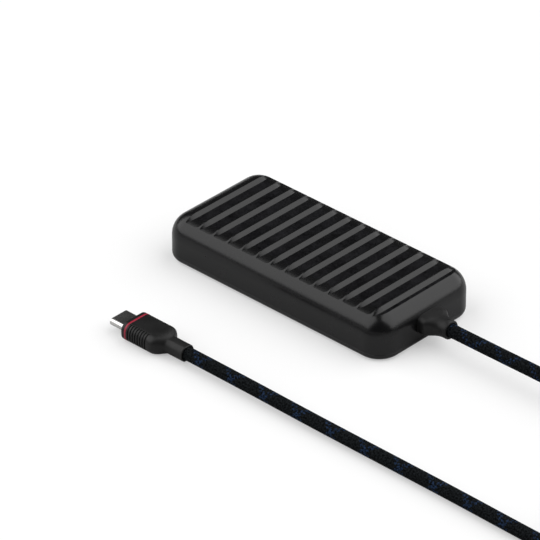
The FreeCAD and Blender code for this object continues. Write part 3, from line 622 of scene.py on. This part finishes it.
def extrudeTo(x, fromX, widthShare, heightShare, centre):
    # on along X to a ring of another size, about the centre in Y and Z
    bpy.ops.mesh.extrude_region_move(TRANSFORM_OT_translate={"value": (x - fromX, 0, 0)})
    bpy.ops.transform.resize(value=(1, widthShare, heightShare), center_override=(x, centre[0], centre[1]))


def makeGland():
    rings = [(mm(x), mm(width), mm(height), power) for x, width, height, power in gland["rings"]]
    x, width, height = rings[0][:3]
    centre = (0.0, gland["height"])
    piece = ringMesh("cordGland", x, centre[0], centre[1], width, height, gland["sides"])
    openMesh(piece)
    bpy.ops.mesh.select_all(action="SELECT")
    for nextX, nextWidth, nextHeight, power in rings[1:]:
        extrudeTo(nextX, x, nextWidth / width, nextHeight / height, centre)
        x, width, height = nextX, nextWidth, nextHeight
    # push each ring out from an oval to its own squareness
    shape = bmesh.from_edit_mesh(piece.data)
    for ringX, ringWidth, ringHeight, power in rings:
        for v in shape.verts:
            if abs(v.co.x - ringX) < near:
                across, up = v.co.y / (ringWidth / 2), (v.co.z - centre[1]) / (ringHeight / 2)
                grow = (abs(across) ** power + abs(up) ** power) ** (-1.0 / power)
                v.co.y, v.co.z = v.co.y * grow, centre[1] + (v.co.z - centre[1]) * grow
    bmesh.update_edit_mesh(piece.data)
    # the rim, then back in for the cord's hole
    rim = gland["rim"]
    less = 2 * rim * gland["rimTaper"]
    extrudeTo(x + rim, x, (width - less) / width, (height - less) / height, centre)
    width -= less
    extrudeTo(x + rim, x + rim, gland["hole"] / width, gland["hole"] / width, centre)
    extrudeTo(x + rim - gland["recess"], x + rim, 1.0, 1.0, centre)
    bpy.ops.mesh.select_all(action="SELECT")
    bpy.ops.mesh.remove_doubles(threshold=near)
    bpy.ops.mesh.normals_make_consistent(inside=False)
    closeMesh()
    parts = [piece]
    for part in ("neck", "flange"):
        x0, x1, wide, tall = [mm(value) for value in gland[part]]
        parts.append(ovalX("gland", x0, x1, 0.0, gland["height"], wide, tall))
    piece = joined(parts, "cordGland")
    smooth(piece, degrees=40.0)
    stand(piece, "soft_moulding", "cord_gland")
    return piece


cordGland = makeGland()
print("gland", len(cordGland.data.polygons), "faces")

plug = {
    "y": mm(-61.9), "z": mm(3.25),          # its middle line
    "front": mm(-22.35), "end": mm(1.5), "frontRound": mm(0.5),
    "width": mm(11.75), "height": mm(6.5), "side": mm(2.6), "sideSteps": 10,
    "bodyEnd": mm(-9.95), "sleeveStart": mm(-5.55), "sleeveFrom": mm(-2.5), "sleeve": mm(5.9),
    # the shoulder: share of the way to the sleeve, width and height in mm, and how far it has gone round
    "shoulder": [(0.12, 11.62, 6.49, 0.0), (0.28, 11.2, 6.46, 0.1), (0.44, 10.3, 6.4, 0.2),
                 (0.6, 8.95, 6.3, 0.35), (0.76, 7.55, 6.15, 0.6), (0.9, 6.5, 6.0, 0.85),
                 (1.0, 5.95, 5.92, 1.0)],
    "rim": mm(0.2), "rimTaper": 0.8, "hole": mm(5.0), "recess": mm(0.9),
    "ringStart": mm(-20.95), "ringLength": mm(0.8), "ringDepth": mm(0.5),
    "ribs": 8, "ribPitch": mm(1.08), "ribWidth": mm(0.5), "ribDepth": mm(0.3), "ribStart": mm(-19.3),
    "ribReach": mm(2.35),         # how far in from each side the ribs wrap over the rounding
    "ribLip": mm(0.09),
}


def gripBlock(name, x0, x1, grow):
    # a length of the grip's section, larger or smaller all round
    w, h = plug["width"] / 2 + grow, plug["height"] / 2 + grow
    piece = block(name, (x0, plug["y"] - w, plug["z"] - h), (x1, plug["y"] + w, plug["z"] + h))
    openMesh(piece)
    rollEdges(piece, lambda m, d, e: alongX(d), plug["side"] + grow, plug["sideSteps"])
    closeMesh()
    return piece


ringStart, ringEnd = plug["ringStart"], plug["ringStart"] + plug["ringLength"]


def makeOvermould():
    # the grip, drawn back in steps: its section rounds off and narrows to the sleeve
    piece = gripBlock("plugOvermould", plug["front"], plug["bodyEnd"], 0.0)
    centre = (plug["y"], plug["z"])
    openMesh(piece)
    rollEdges(piece, lambda m, d, e: abs(m.x - plug["front"]) < near and abs(d.x) < near,
              plug["frontRound"], steps=4)
    pickFaces(piece, lambda c, n: n.x > facing)
    x = plug["bodyEnd"]
    span = plug["sleeveStart"] - plug["bodyEnd"]
    for share, w, h, roundness in plug["shoulder"]:
        nextX = plug["bodyEnd"] + span * share
        bpy.ops.mesh.extrude_region_move(TRANSFORM_OT_translate={"value": (nextX - x, 0, 0)})
        shape = bmesh.from_edit_mesh(piece.data)
        ring = [v for v in shape.verts if v.select]
        halfW, halfH = mm(w) / 2, mm(h) / 2
        tall = max(v.co.z for v in ring) - centre[1]
        wide = max(v.co.y for v in ring) - centre[0]
        pivot = (nextX, centre[0], centre[1])
        bpy.ops.transform.resize(value=(1, halfW / wide, halfH / tall), center_override=pivot)
        # draw each corner of the section towards the oval of the same size
        shape = bmesh.from_edit_mesh(piece.data)
        for v in [v for v in shape.verts if v.select]:
            angle = math.atan2((v.co.z - centre[1]) / halfH, (v.co.y - centre[0]) / halfW)
            roundY = centre[0] + halfW * math.cos(angle)
            roundZ = centre[1] + halfH * math.sin(angle)
            v.co.y += (roundY - v.co.y) * roundness
            v.co.z += (roundZ - v.co.z) * roundness
        bmesh.update_edit_mesh(piece.data)
        x = nextX
    # the sleeve, its rim, and back in for the cord's hole
    end, rim = plug["end"], plug["rim"]
    share = plug["sleeve"] / mm(plug["shoulder"][-1][1])
    extrudeTo(plug["sleeveFrom"], x, share, share, centre)
    extrudeTo(end - rim, plug["sleeveFrom"], 1.0, 1.0, centre)
    size = plug["sleeve"] - 2 * rim * plug["rimTaper"]
    extrudeTo(end, end - rim, size / plug["sleeve"], size / plug["sleeve"], centre)
    extrudeTo(end, end, plug["hole"] / size, plug["hole"] / size, centre)
    extrudeTo(end - plug["recess"], end, 1.0, 1.0, centre)
    closeMesh()
    # the ring's groove and the ribs, each cut by a band that is hollow inside
    groove = gripBlock("grooveCutter", ringStart, ringEnd, clear)
    cutBy(groove, [gripBlock("grooveCore", ringStart - clear, ringEnd + clear, -plug["ringDepth"])])
    x0, x1 = plug["ribStart"] - plug["ribWidth"] / 2, plug["ribStart"] + plug["ribWidth"] / 2
    inside = plug["width"] / 2 - plug["ribReach"]
    rib = gripBlock("ribCutter", x0, x1, clear)
    core = gripBlock("ribCore", x0 - clear, x1 + clear, -plug["ribDepth"])
    middle = block("ribMiddle", (x0 - clear, plug["y"] - inside, plug["z"] - plug["width"]),
                   (x1 + clear, plug["y"] + inside, plug["z"] + plug["width"]))
    cutBy(rib, [core, middle])
    ribs = [rib]
    for i in range(1, plug["ribs"]):
        ribs.append(copyOf(rib, Vector((i * plug["ribPitch"], 0, 0))))
    cutBy(piece, [groove, joined(ribs, "ribCutters")])
    openMesh(piece)
    rollEdges(piece, lambda m, d, e: sharp(e) and plug["ribStart"] - clear < m.x < plug["bodyEnd"],
              plug["ribLip"], steps=2)
    closeMesh()
    smooth(piece, degrees=35.0)
    stand(piece, "soft_moulding", "plug_overmould")
    return piece


plugOvermould = makeOvermould()
print("grip", len(plugOvermould.data.polygons), "faces")

ring = {"gap": mm(0.02), "proud": mm(0.03), "lip": mm(0.12)}     # how it sits in its groove


def makeRing():
    piece = gripBlock("plugRing", ringStart + ring["gap"], ringEnd - ring["gap"], ring["proud"])
    core = gripBlock("ringCore", ringStart - clear, ringEnd + clear, -plug["ringDepth"] + ring["gap"])
    cutBy(piece, [core])
    openMesh(piece)
    rollEdges(piece, lambda m, d, e: sharp(e), ring["lip"], steps=2)
    closeMesh()
    smooth(piece, degrees=40.0)
    stand(piece, "red_elastomer", "plug_ring")
    return piece


plugRing = makeRing()

shell = {
    "tip": mm(-29.0), "root": mm(-17.35), "width": mm(8.25), "height": mm(2.4), "wall": mm(0.3),
    "noseRoll": mm(0.11),
}


def makeShell():
    # drawn steel shell: an oval tube with a rolled nose
    tip, root, wall = shell["tip"], shell["root"], shell["wall"]
    piece = ovalX("plugShell", tip, root, plug["y"], plug["z"], shell["width"], shell["height"])
    bore = ovalX("boreCutter", tip - clear, root + clear, plug["y"], plug["z"],
                 shell["width"] - 2 * wall, shell["height"] - 2 * wall)
    cutBy(piece, [bore])
    openMesh(piece)
    rollEdges(piece, lambda m, d, e: abs(m.x - tip) < near and sharp(e), shell["noseRoll"], steps=3)
    closeMesh()
    smooth(piece, degrees=35.0)
    stand(piece, "stainless_shell", "plug_shell")
    return piece


plugShell = makeShell()
print("plug modelled")


def mergedCopy(node, name, slotName, degrees):
    # the same shape as the CAD node, welded so that its round faces shade smoothly
    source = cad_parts[node]
    piece = bpy.data.objects.new(name, source.data.copy())
    piece.data.materials.clear()
    bpy.context.scene.collection.objects.link(piece)
    openMesh(piece)
    bpy.ops.mesh.select_all(action="SELECT")
    bpy.ops.mesh.remove_doubles(threshold=near)
    closeMesh()
    makeActive(piece)
    if piece.data.has_custom_normals:
        bpy.ops.mesh.customdata_custom_splitnormals_clear()
    smooth(piece, degrees)
    stand(piece, slotName, node)
    return piece


inletBody = mergedCopy("inlet_body", "inletBody", "inlet_plastic", degrees=30.0)
inletPins = mergedCopy("inlet_pins", "inletPins", "plated_pins", degrees=40.0)
plugInsulator = mergedCopy("plug_insulator", "plugInsulator", "liquid_crystal_polymer", degrees=30.0)
print("inlet and insulator dressed")

tie = {
    "thick": mm(0.9), "corner": mm(2.0),
    # its free end, which lies over the strap on top
    "endFrom": mm(3.0), "endLength": mm(14.0), "endInset": mm(0.2), "endSunk": mm(0.02),
    "endThick": mm(0.75), "endCorner": mm(1.6), "endLip": mm(0.25),
}


def makeTie():
    low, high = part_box("cord_tie")
    strap = block("cordTie", low, high)
    openMesh(strap)
    rollEdges(strap, lambda m, d, e: abs(d.y) > straight, tie["corner"], steps=8)
    pickFaces(strap, lambda c, n: abs(n.y) > facing)
    bpy.ops.mesh.inset(thickness=tie["thick"])
    bpy.ops.mesh.bridge_edge_loops()
    closeMesh()
    start, top, inset = low.x + tie["endFrom"], high.z + tie["endThick"], tie["endInset"]
    end = block("tieEnd", (start, low.y + inset, high.z - tie["endSunk"]),
                (start + tie["endLength"], high.y - inset, top))
    openMesh(end)
    rollEdges(end, lambda m, d, e: upright(d), tie["endCorner"], steps=5)
    rollEdges(end, lambda m, d, e: abs(m.z - top) < near, tie["endLip"], steps=2)
    closeMesh()
    strap = joined([strap, end], "cordTie")
    smooth(strap, degrees=35.0)
    stand(strap, "strap_fabric", "cord_tie")
    return strap


cordTie = makeTie()
print("tie modelled")

finish = {
    "mottle": 6.0,                # mm across a patch of the slow drift in tone and gloss
    "driftShare": 0.6,            # how much that drift counts in the tone
    "darkAt": 0.3, "paleAt": 0.75,          # where on the tone's scale the two colours stand
    "height": mm(0.05),           # of the grain, where its bump is 1
}


def grained(name, colour, paler, roughness, grainMm, bump, metallic=0.0, specular=0.5, roughVary=0.05,
            stretch=(1, 1, 1)):
    # base for most finishes: a fine grain in the surface, and a slow drift in tone and gloss
    material, tree = newMaterial(name)
    coords = addNode(tree, "ShaderNodeTexCoord")
    perGrain = tuple(1000.0 / grainMm * s for s in stretch)
    fine = addNode(tree, "ShaderNodeMapping", {"Scale": perGrain}, {"Vector": coords.outputs["Object"]})
    grain = addNode(tree, "ShaderNodeTexNoise", {"Scale": 1.0, "Detail": 3.0, "Roughness": 0.6},
                    {"Vector": fine.outputs[0]})
    perPatch = (1000.0 / finish["mottle"],) * 3
    wide = addNode(tree, "ShaderNodeMapping", {"Scale": perPatch}, {"Vector": coords.outputs["Object"]})
    drift = addNode(tree, "ShaderNodeTexNoise", {"Scale": 1.0, "Detail": 2.0}, {"Vector": wide.outputs[0]})
    share = finish["driftShare"]
    sway = addNode(tree, "ShaderNodeMath", {"operation": "MULTIPLY_ADD", 1: share, 2: -share / 2},
                   {0: drift.outputs[0]})
    tone = addNode(tree, "ShaderNodeMath", {"operation": "ADD", "use_clamp": True},
                   {0: grain.outputs[0], 1: sway.outputs[0]})
    ramp = addNode(tree, "ShaderNodeValToRGB", {}, {"Fac": tone.outputs[0]})
    stops = ((finish["darkAt"], colour), (finish["paleAt"], paler))
    for element, (place, shade) in zip(ramp.color_ramp.elements, stops):
        element.position, element.color = place, toLinear(shade)
    least, most = roughness - roughVary, roughness + roughVary
    rough = addNode(tree, "ShaderNodeMapRange", {1: 0.3, 2: 0.7, 3: least, 4: most}, {0: drift.outputs[0]})
    relief = addNode(tree, "ShaderNodeBump", {"Strength": bump, "Distance": finish["height"]},
                     {"Height": grain.outputs[0]})
    settings = {"Metallic": metallic}
    if not metallic:
        settings.update({"IOR": 1.5, "Specular IOR Level": specular})
    shader = addNode(tree, "ShaderNodeBsdfPrincipled", settings,
                     {"Base Color": ramp.outputs[0], "Roughness": rough.outputs[0],
                      "Normal": relief.outputs[0]})
    addNode(tree, "ShaderNodeOutputMaterial", links={"Surface": shader.outputs[0]})
    return material


# polycarbonate blend, moulded against a fine blasted tool: an even black sheen and no grain that shows
casePlastic = grained("blastedPolycarbonate", "#0b0b0c", "#0e0e0f", 0.26, 0.25, 0.06, specular=0.36,
                      roughVary=0.02)
# the same plastic where the tool was spark-eroded: flat, grainy and without sheen
pocketPlastic = grained("sparkErodedPolycarbonate", "#040405", "#1e1e20", 0.55, 0.5, 1.0, specular=0.04)
# soft thermoplastic elastomer, moulded round the plug and at the gland: a softer sheen than the case
softMoulding = grained("thermoplasticElastomer", "#101010", "#161616", 0.45, 0.3, 0.3, specular=0.3)
redMoulding = grained("redElastomer", "#8f1b30", "#9c2439", 0.45, 0.4, 0.2, specular=0.35)
# drawn and polished stainless steel: bright, with faint marks along the draw
shellSteel = grained("drawnStainlessSteel", "#c9c8c6", "#d6d5d3", 0.24, 0.25, 0.15, metallic=1.0,
                     stretch=(0.08, 1, 1))
# plated contact metals: warm and bright, nearly smooth. Dipped tin is duller and a little uneven
nickel = grained("nickelPlate", "#cfccc4", "#dad7cf", 0.22, 0.3, 0.1, metallic=1.0)
goldPlate = grained("goldPlate", "#e3bd6a", "#edca7c", 0.25, 0.2, 0.1, metallic=1.0)
tinnedCopper = grained("tinnedCopper", "#c4bfb3", "#d2cdc2", 0.32, 0.4, 0.3, metallic=1.0)
# moulded engineering plastics: satin, in off black, brown or yellow
blackNylon = grained("mouldedNylon", "#171718", "#1e1e1f", 0.48, 0.35, 0.3)
crystalPolymer = grained("liquidCrystalPolymer", "#141415", "#1b1b1c", 0.4, 0.2, 0.2)
phenolic = grained("phenolicMoulding", "#2b2723", "#38332e", 0.5, 0.6, 0.3)
yellowCase = grained("yellowMouldedBox", "#c99a2c", "#d8aa3c", 0.4, 0.7, 0.2)
# chip bodies of filled epoxy: matt, with a fine filler grain
chipEpoxy = grained("mouldingCompound", "#1d1d1f", "#29292b", 0.55, 0.3, 0.4)
optoEpoxy = grained("whiteMouldingCompound", "#d9d9d4", "#e4e4e0", 0.5, 0.4, 0.3)
# coats, films and skins: glossy, with a slow unevenness
solderMask = grained("solderMask", "#0f4a2a", "#16603a", 0.35, 0.8, 0.2)
blueDip = grained("dippedEpoxy", "#1d4f9a", "#2a61b0", 0.25, 1.4, 0.3)
shrinkSleeve = grained("shrinkSleeve", "#1c2436", "#27314a", 0.3, 1.2, 0.1)
polyesterFilm = grained("polyesterFilm", "#b9b9b0", "#c8c8c0", 0.3, 1.5, 0.1)
wireSkin = grained("vinylInsulation", "#7a1414", "#8d1c1c", 0.35, 0.6, 0.1)
# fired and cured solids: chalky or waxy, and grainy up close
ferrite = grained("sinteredFerrite", "#33343a", "#45464d", 0.6, 0.5, 0.5)
fuseCeramic = grained("steatiteCeramic", "#dedbd2", "#ebe8e0", 0.35, 0.8, 0.2)
siliconePad = grained("filledSilicone", "#7f97ab", "#8fa6b8", 0.7, 0.5, 0.4)
# worked metals: lacquered windings, an extruded can, and sheet with marks along the rolling
enamelledWire = grained("enamelledCopperWire", "#a04f1e", "#c4692c", 0.3, 0.6, 0.8, metallic=1.0,
                        stretch=(0.1, 0.1, 1))
bareCan = grained("aluminiumCan", "#c6c6c8", "#d4d4d6", 0.3, 0.4, 0.2, metallic=1.0)
copperSheet = grained("rolledCopper", "#b8714a", "#c9835b", 0.35, 0.5, 0.3, metallic=1.0,
                      stretch=(0.05, 1, 1))


def setMaterial(piece, *materials):
    piece.data.materials.clear()
    for material in materials:
        piece.data.materials.append(material)


braid = {
    "carriers": 12,               # strands each way round the cord
    "lay": mm(14.0),              # length of one turn of a strand
    "yarnsPerStrand": 2.0,
    "yarnRipple": -0.12,          # how far the yarns show in a strand's rounded top
    "bluePairs": (0.5, 6.5),      # a pair of blue strands each way round, by the number between them
    "pairReach": 0.6,             # strands numbered within this of it are blue
    "fibre": (1600.0, 26.0, 1.0),           # specks to the metre along the cord, and round it
    "fibreShare": 0.25,           # their share in the height
    "height": mm(0.18),
    "black": "#030405", "grey": "#1d2022", "blue": "#23344e",
}


def makeBraid():
    # polyester braid: dull black cloth of crossing strands, with dark blue flecks where tracers surface;
    # the strands are drawn 1.2 mm wide round the cord, as coarse as they need to be to show
    material, tree = newMaterial("polyesterBraid")
    uv = addNode(tree, "ShaderNodeUVMap", {"uv_map": "braidMap"})
    perCell = (braid["carriers"] / braid["lay"], braid["carriers"], 1.0)
    place = addNode(tree, "ShaderNodeMapping", {"Scale": perCell}, {"Vector": uv.outputs[0]})
    axes = addNode(tree, "ShaderNodeSeparateXYZ", {}, {0: place.outputs[0]})
    along, around = axes.outputs[0], axes.outputs[1]
    right = addNode(tree, "ShaderNodeMath", {"operation": "ADD"}, {0: around, 1: along})
    left = addNode(tree, "ShaderNodeMath", {"operation": "SUBTRACT"}, {0: around, 1: along})
    cells = []
    for side in (right, left):
        cell = addNode(tree, "ShaderNodeMath", {"operation": "FLOOR"}, {0: side.outputs[0]})
        within = addNode(tree, "ShaderNodeMath", {"operation": "FRACT"}, {0: side.outputs[0]})
        index = addNode(tree, "ShaderNodeMath", {"operation": "FLOORED_MODULO", 1: float(braid["carriers"])},
                        {0: cell.outputs[0]})
        cells.append((cell, within, index))
    # over and under in turn, as in a plain weave
    total = addNode(tree, "ShaderNodeMath", {"operation": "ADD"},
                    {0: cells[0][0].outputs[0], 1: cells[1][0].outputs[0]})
    over = addNode(tree, "ShaderNodeMath", {"operation": "FLOORED_MODULO", 1: 2.0}, {0: total.outputs[0]})
    blues, humps = [], []
    for (cell, within, index), pair in zip(cells, braid["bluePairs"]):
        blues.append(addNode(tree, "ShaderNodeMath", {"operation": "COMPARE", 1: pair, 2: braid["pairReach"]},
                             {0: index.outputs[0]}))
        across = addNode(tree, "ShaderNodeMath", {"operation": "MULTIPLY", 1: math.pi},
                         {0: within.outputs[0]})
        crown = addNode(tree, "ShaderNodeMath", {"operation": "SINE"}, {0: across.outputs[0]})
        waves = 2 * math.pi * braid["yarnsPerStrand"]
        yarn = addNode(tree, "ShaderNodeMath", {"operation": "MULTIPLY", 1: waves}, {0: within.outputs[0]})
        ripple = addNode(tree, "ShaderNodeMath", {"operation": "COSINE"}, {0: yarn.outputs[0]})
        humps.append(addNode(tree, "ShaderNodeMath", {"operation": "MULTIPLY_ADD", 1: braid["yarnRipple"]},
                             {0: ripple.outputs[0], 2: crown.outputs[0]}))
    pickBlue = addNode(tree, "ShaderNodeMix", {"data_type": "FLOAT"},
                       {0: over.outputs[0], 2: blues[0].outputs[0], 3: blues[1].outputs[0]})
    pickHump = addNode(tree, "ShaderNodeMix", {"data_type": "FLOAT"},
                       {0: over.outputs[0], 2: humps[0].outputs[0], 3: humps[1].outputs[0]})
    # specks of fibre break up the yarns
    fibre = addNode(tree, "ShaderNodeMapping", {"Scale": braid["fibre"]}, {"Vector": uv.outputs[0]})
    fuzz = addNode(tree, "ShaderNodeTexNoise", {"Scale": 1.0, "Detail": 3.0}, {"Vector": fibre.outputs[0]})
    breakUp = addNode(tree, "ShaderNodeMapRange", {1: 0.4, 2: 0.6, 3: 0.0, 4: 1.0}, {0: fuzz.outputs[0]})
    base = addNode(tree, "ShaderNodeMix",
                   {"data_type": "RGBA", 6: toLinear(braid["black"]), 7: toLinear(braid["grey"])},
                   {0: breakUp.outputs[0]})
    amount = addNode(tree, "ShaderNodeMath", {"operation": "MULTIPLY", "use_clamp": True},
                     {0: pickBlue.outputs[0], 1: breakUp.outputs[0]})
    colour = addNode(tree, "ShaderNodeMix", {"data_type": "RGBA", 7: toLinear(braid["blue"])},
                     {0: amount.outputs[0], 6: base.outputs[2]})
    height = addNode(tree, "ShaderNodeMath", {"operation": "MULTIPLY_ADD", 1: braid["fibreShare"]},
                     {0: fuzz.outputs[0], 2: pickHump.outputs[0]})
    relief = addNode(tree, "ShaderNodeBump", {"Strength": 0.8, "Distance": braid["height"]},
                     {"Height": height.outputs[0]})
    shader = addNode(tree, "ShaderNodeBsdfPrincipled",
                     {"Roughness": 0.75, "IOR": 1.5, "Specular IOR Level": 0.03},
                     {"Base Color": colour.outputs[2], "Normal": relief.outputs[0]})
    addNode(tree, "ShaderNodeOutputMaterial", links={"Surface": shader.outputs[0]})
    return material


setMaterial(braidedCord, makeBraid())

strapFabric = {
    "loop": 0.7,                  # mm across one loop
    "height": mm(0.2),
    # painted light and shade: the lighter colour on the loops' tops, the darker painted shade between the
    # loops
    "top": "#1d1d1f", "between": "#101011",
}


def makeStrapFabric():
    # woven hook-and-loop strap: short loops side by side, quite matt, drawn as coarse as they need to show;
    # the loops' tops are painted lighter and the colour between them is painted shade
    material, tree = newMaterial("hookAndLoopStrap")
    coords = addNode(tree, "ShaderNodeTexCoord")
    space = addNode(tree, "ShaderNodeMapping", {"Scale": (1000.0 / strapFabric["loop"],) * 3},
                    {"Vector": coords.outputs["Object"]})
    loops = addNode(tree, "ShaderNodeTexVoronoi", {"Scale": 1.0}, {"Vector": space.outputs[0]})
    # the colour follows the loops' relief, as painted shade that deepens between them
    ramp = addNode(tree, "ShaderNodeValToRGB", {}, {"Fac": loops.outputs[0]})
    ramp.color_ramp.elements[0].color = toLinear(strapFabric["top"])
    ramp.color_ramp.elements[1].color = toLinear(strapFabric["between"])
    relief = addNode(tree, "ShaderNodeBump",
                     {"Strength": 0.8, "Distance": strapFabric["height"], "invert": True},
                     {"Height": loops.outputs[0]})
    shader = addNode(tree, "ShaderNodeBsdfPrincipled", {"Roughness": 0.9, "Sheen Weight": 0.15},
                     {"Base Color": ramp.outputs[0], "Normal": relief.outputs[0]})
    addNode(tree, "ShaderNodeOutputMaterial", links={"Surface": shader.outputs[0]})
    return material


setMaterial(cordTie, makeStrapFabric())
setMaterial(topCover, casePlastic, pocketPlastic)
setMaterial(bottomCover, casePlastic)
setMaterial(cordGland, softMoulding)
setMaterial(plugOvermould, softMoulding)
setMaterial(plugRing, redMoulding)
setMaterial(plugShell, shellSteel)
setMaterial(inletBody, blackNylon)
setMaterial(inletPins, nickel)
setMaterial(plugInsulator, crystalPolymer)


def onFloor(centre, normal):
    # the pockets' floors take the coarse finish, as far as they lie at the full depth
    across = max(abs(centre.y) - (caseShape["halfWidth"] - caseShape["topRound"]), 0.0)
    rise = centre.z - (caseShape["height"] - caseShape["topRound"])
    deep = caseShape["topRound"] - math.hypot(across, rise)
    levelAlongX, upwards = abs(normal.x) < 0.1, normal.z > 0.5
    return abs(deep - pocket["depth"]) < pocket["floorSlack"] and levelAlongX and upwards


openMesh(topCover)
pickFaces(topCover, onFloor)
topCover.active_material_index = 1
bpy.ops.object.material_slot_assign()
closeMesh()

nodeFinishes = {
    "inlet_leads": tinnedCopper, "main_board": solderMask, "insulation_sheet": polyesterFilm,
    "bulk_capacitors": shrinkSleeve, "capacitor_leads": tinnedCopper, "transformer_core": ferrite,
    "transformer_bobbin": phenolic, "transformer_winding": enamelledWire, "choke_core": ferrite,
    "choke_windings": enamelledWire, "film_capacitor": yellowCase, "mains_fuse": fuseCeramic,
    "bridge_rectifier": chipEpoxy, "primary_switch": chipEpoxy, "optocoupler": optoEpoxy,
    "y_capacitor": blueDip, "output_capacitors": bareCan, "controller_chips": chipEpoxy,
    "heat_spreader": copperSheet, "thermal_pad": siliconePad, "output_wires": wireSkin,
    "plug_contacts": goldPlate, "plug_board": solderMask, "plug_inner_mould": phenolic,
    "cord_ferrule": tinnedCopper,
}
for node, material in nodeFinishes.items():
    setMaterial(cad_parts[node], material)
print("materials set")


studio = {
    "floorSize": 6.0,
    "floorDrop": mm(0.02),        # how far it lies under the object's foot
    "floorColour": "#bebebe",
    "whiteShare": 0.4,            # how far the floor is lifted towards white round the object
    "fadeFrom": 0.35,             # past here the lift grows, since the lamps don't reach so far
    "fadeTo": 0.8,
    "glossShare": 0.03,           # the lift in reflections: more would turn the black plastic grey
    "lampReach": 1.2,
    "aim": Vector((0.02, -0.01, 0.008)),
    "dimWorld": 0.04,             # the world's even light on the object
}
lamps = {
    # direction of its middle, direction of its long side, half length and half width in degrees, radiance
    "backBox": (Vector((0.46, 0.572, 0.679)), Vector((0.500, 0.462, -0.732)), 37.5, 41.0, 2.15),
    "leftBox": (Vector((-0.552, -0.514, 0.657)), Vector((0.717, -0.695, 0.051)), 40.0, 33.0, 2.0),
}


def makeFloor():
    # paper that keeps the object's shadow, lifted for the camera and for what is seen through glass,
    # and a little for reflections
    deselectAll()
    bpy.ops.mesh.primitive_plane_add(size=studio["floorSize"], location=(0, 0, -studio["floorDrop"]))
    floor = settle(bpy.context.object, "floor")
    material, tree = newMaterial("paleFloor")
    rays = addNode(tree, "ShaderNodeLightPath")
    reflected = addNode(tree, "ShaderNodeMath", {"operation": "MULTIPLY", 1: studio["glossShare"]},
                        {0: rays.outputs["Is Glossy Ray"]})
    coords = addNode(tree, "ShaderNodeTexCoord")
    away = addNode(tree, "ShaderNodeVectorMath", {"operation": "LENGTH"}, {0: coords.outputs["Object"]})
    share = addNode(tree, "ShaderNodeMapRange",
                    {1: studio["fadeFrom"], 2: studio["fadeTo"], 3: studio["whiteShare"], 4: 1.0},
                    {0: away.outputs["Value"]})
    seen = addNode(tree, "ShaderNodeMath", {"operation": "MULTIPLY"},
                   {0: rays.outputs["Is Camera Ray"], 1: share.outputs[0]})
    through = addNode(tree, "ShaderNodeMath", {"operation": "MULTIPLY"},
                      {0: rays.outputs["Is Transmission Ray"], 1: share.outputs[0]})
    most = addNode(tree, "ShaderNodeMath", {"operation": "MAXIMUM"},
                   {0: seen.outputs[0], 1: through.outputs[0]})
    strength = addNode(tree, "ShaderNodeMath", {"operation": "MAXIMUM"},
                       {0: most.outputs[0], 1: reflected.outputs[0]})
    paper = addNode(tree, "ShaderNodeBsdfDiffuse", {"Color": toLinear(studio["floorColour"])})
    lift = addNode(tree, "ShaderNodeEmission", {"Color": (1, 1, 1, 1)}, {"Strength": strength.outputs[0]})
    both = addNode(tree, "ShaderNodeAddShader", {}, {0: paper.outputs[0], 1: lift.outputs[0]})
    addNode(tree, "ShaderNodeOutputMaterial", links={"Surface": both.outputs[0]})
    setMaterial(floor, material)


def makeLamp(name, direction, longSide, halfLong, halfWide, radiance):
    # a softbox given by what it covers as seen from the object
    out = direction.normalized()
    acrossIt = (longSide - out * longSide.dot(out)).normalized()
    other = out.cross(acrossIt)
    reach = studio["lampReach"]
    width = 2 * reach * math.tan(math.radians(halfLong))
    height = 2 * reach * math.tan(math.radians(halfWide))
    data = bpy.data.lights.new(name, "AREA")
    data.shape = "RECTANGLE"
    data.size, data.size_y = width, height
    data.energy = radiance * math.pi * width * height
    lamp = bpy.data.objects.new(name, data)
    bpy.context.scene.collection.objects.link(lamp)
    place = studio["aim"] + out * reach
    lamp.matrix_world = Matrix((
        (acrossIt.x, other.x, out.x, place.x),
        (acrossIt.y, other.y, out.y, place.y),
        (acrossIt.z, other.z, out.z, place.z),
        (0.0, 0.0, 0.0, 1.0),
    ))


def makeWorld():
    # white to the camera, and a faint even light to all else
    world = bpy.data.worlds.new("studioWorld")
    world.use_nodes = True
    tree = world.node_tree
    tree.nodes.clear()
    rays = addNode(tree, "ShaderNodeLightPath")
    dim = addNode(tree, "ShaderNodeBackground", {"Color": (1, 1, 1, 1), "Strength": studio["dimWorld"]})
    white = addNode(tree, "ShaderNodeBackground", {"Color": (1, 1, 1, 1), "Strength": 1.0})
    both = addNode(tree, "ShaderNodeMixShader", {},
                   {0: rays.outputs["Is Camera Ray"], 1: dim.outputs[0], 2: white.outputs[0]})
    addNode(tree, "ShaderNodeOutputWorld", links={"Surface": both.outputs[0]})
    bpy.context.scene.world = world


makeFloor()
for lampName, values in lamps.items():
    makeLamp(lampName, *values)
makeWorld()
bpy.context.scene.view_settings.view_transform = "Standard"
print("studio ready")
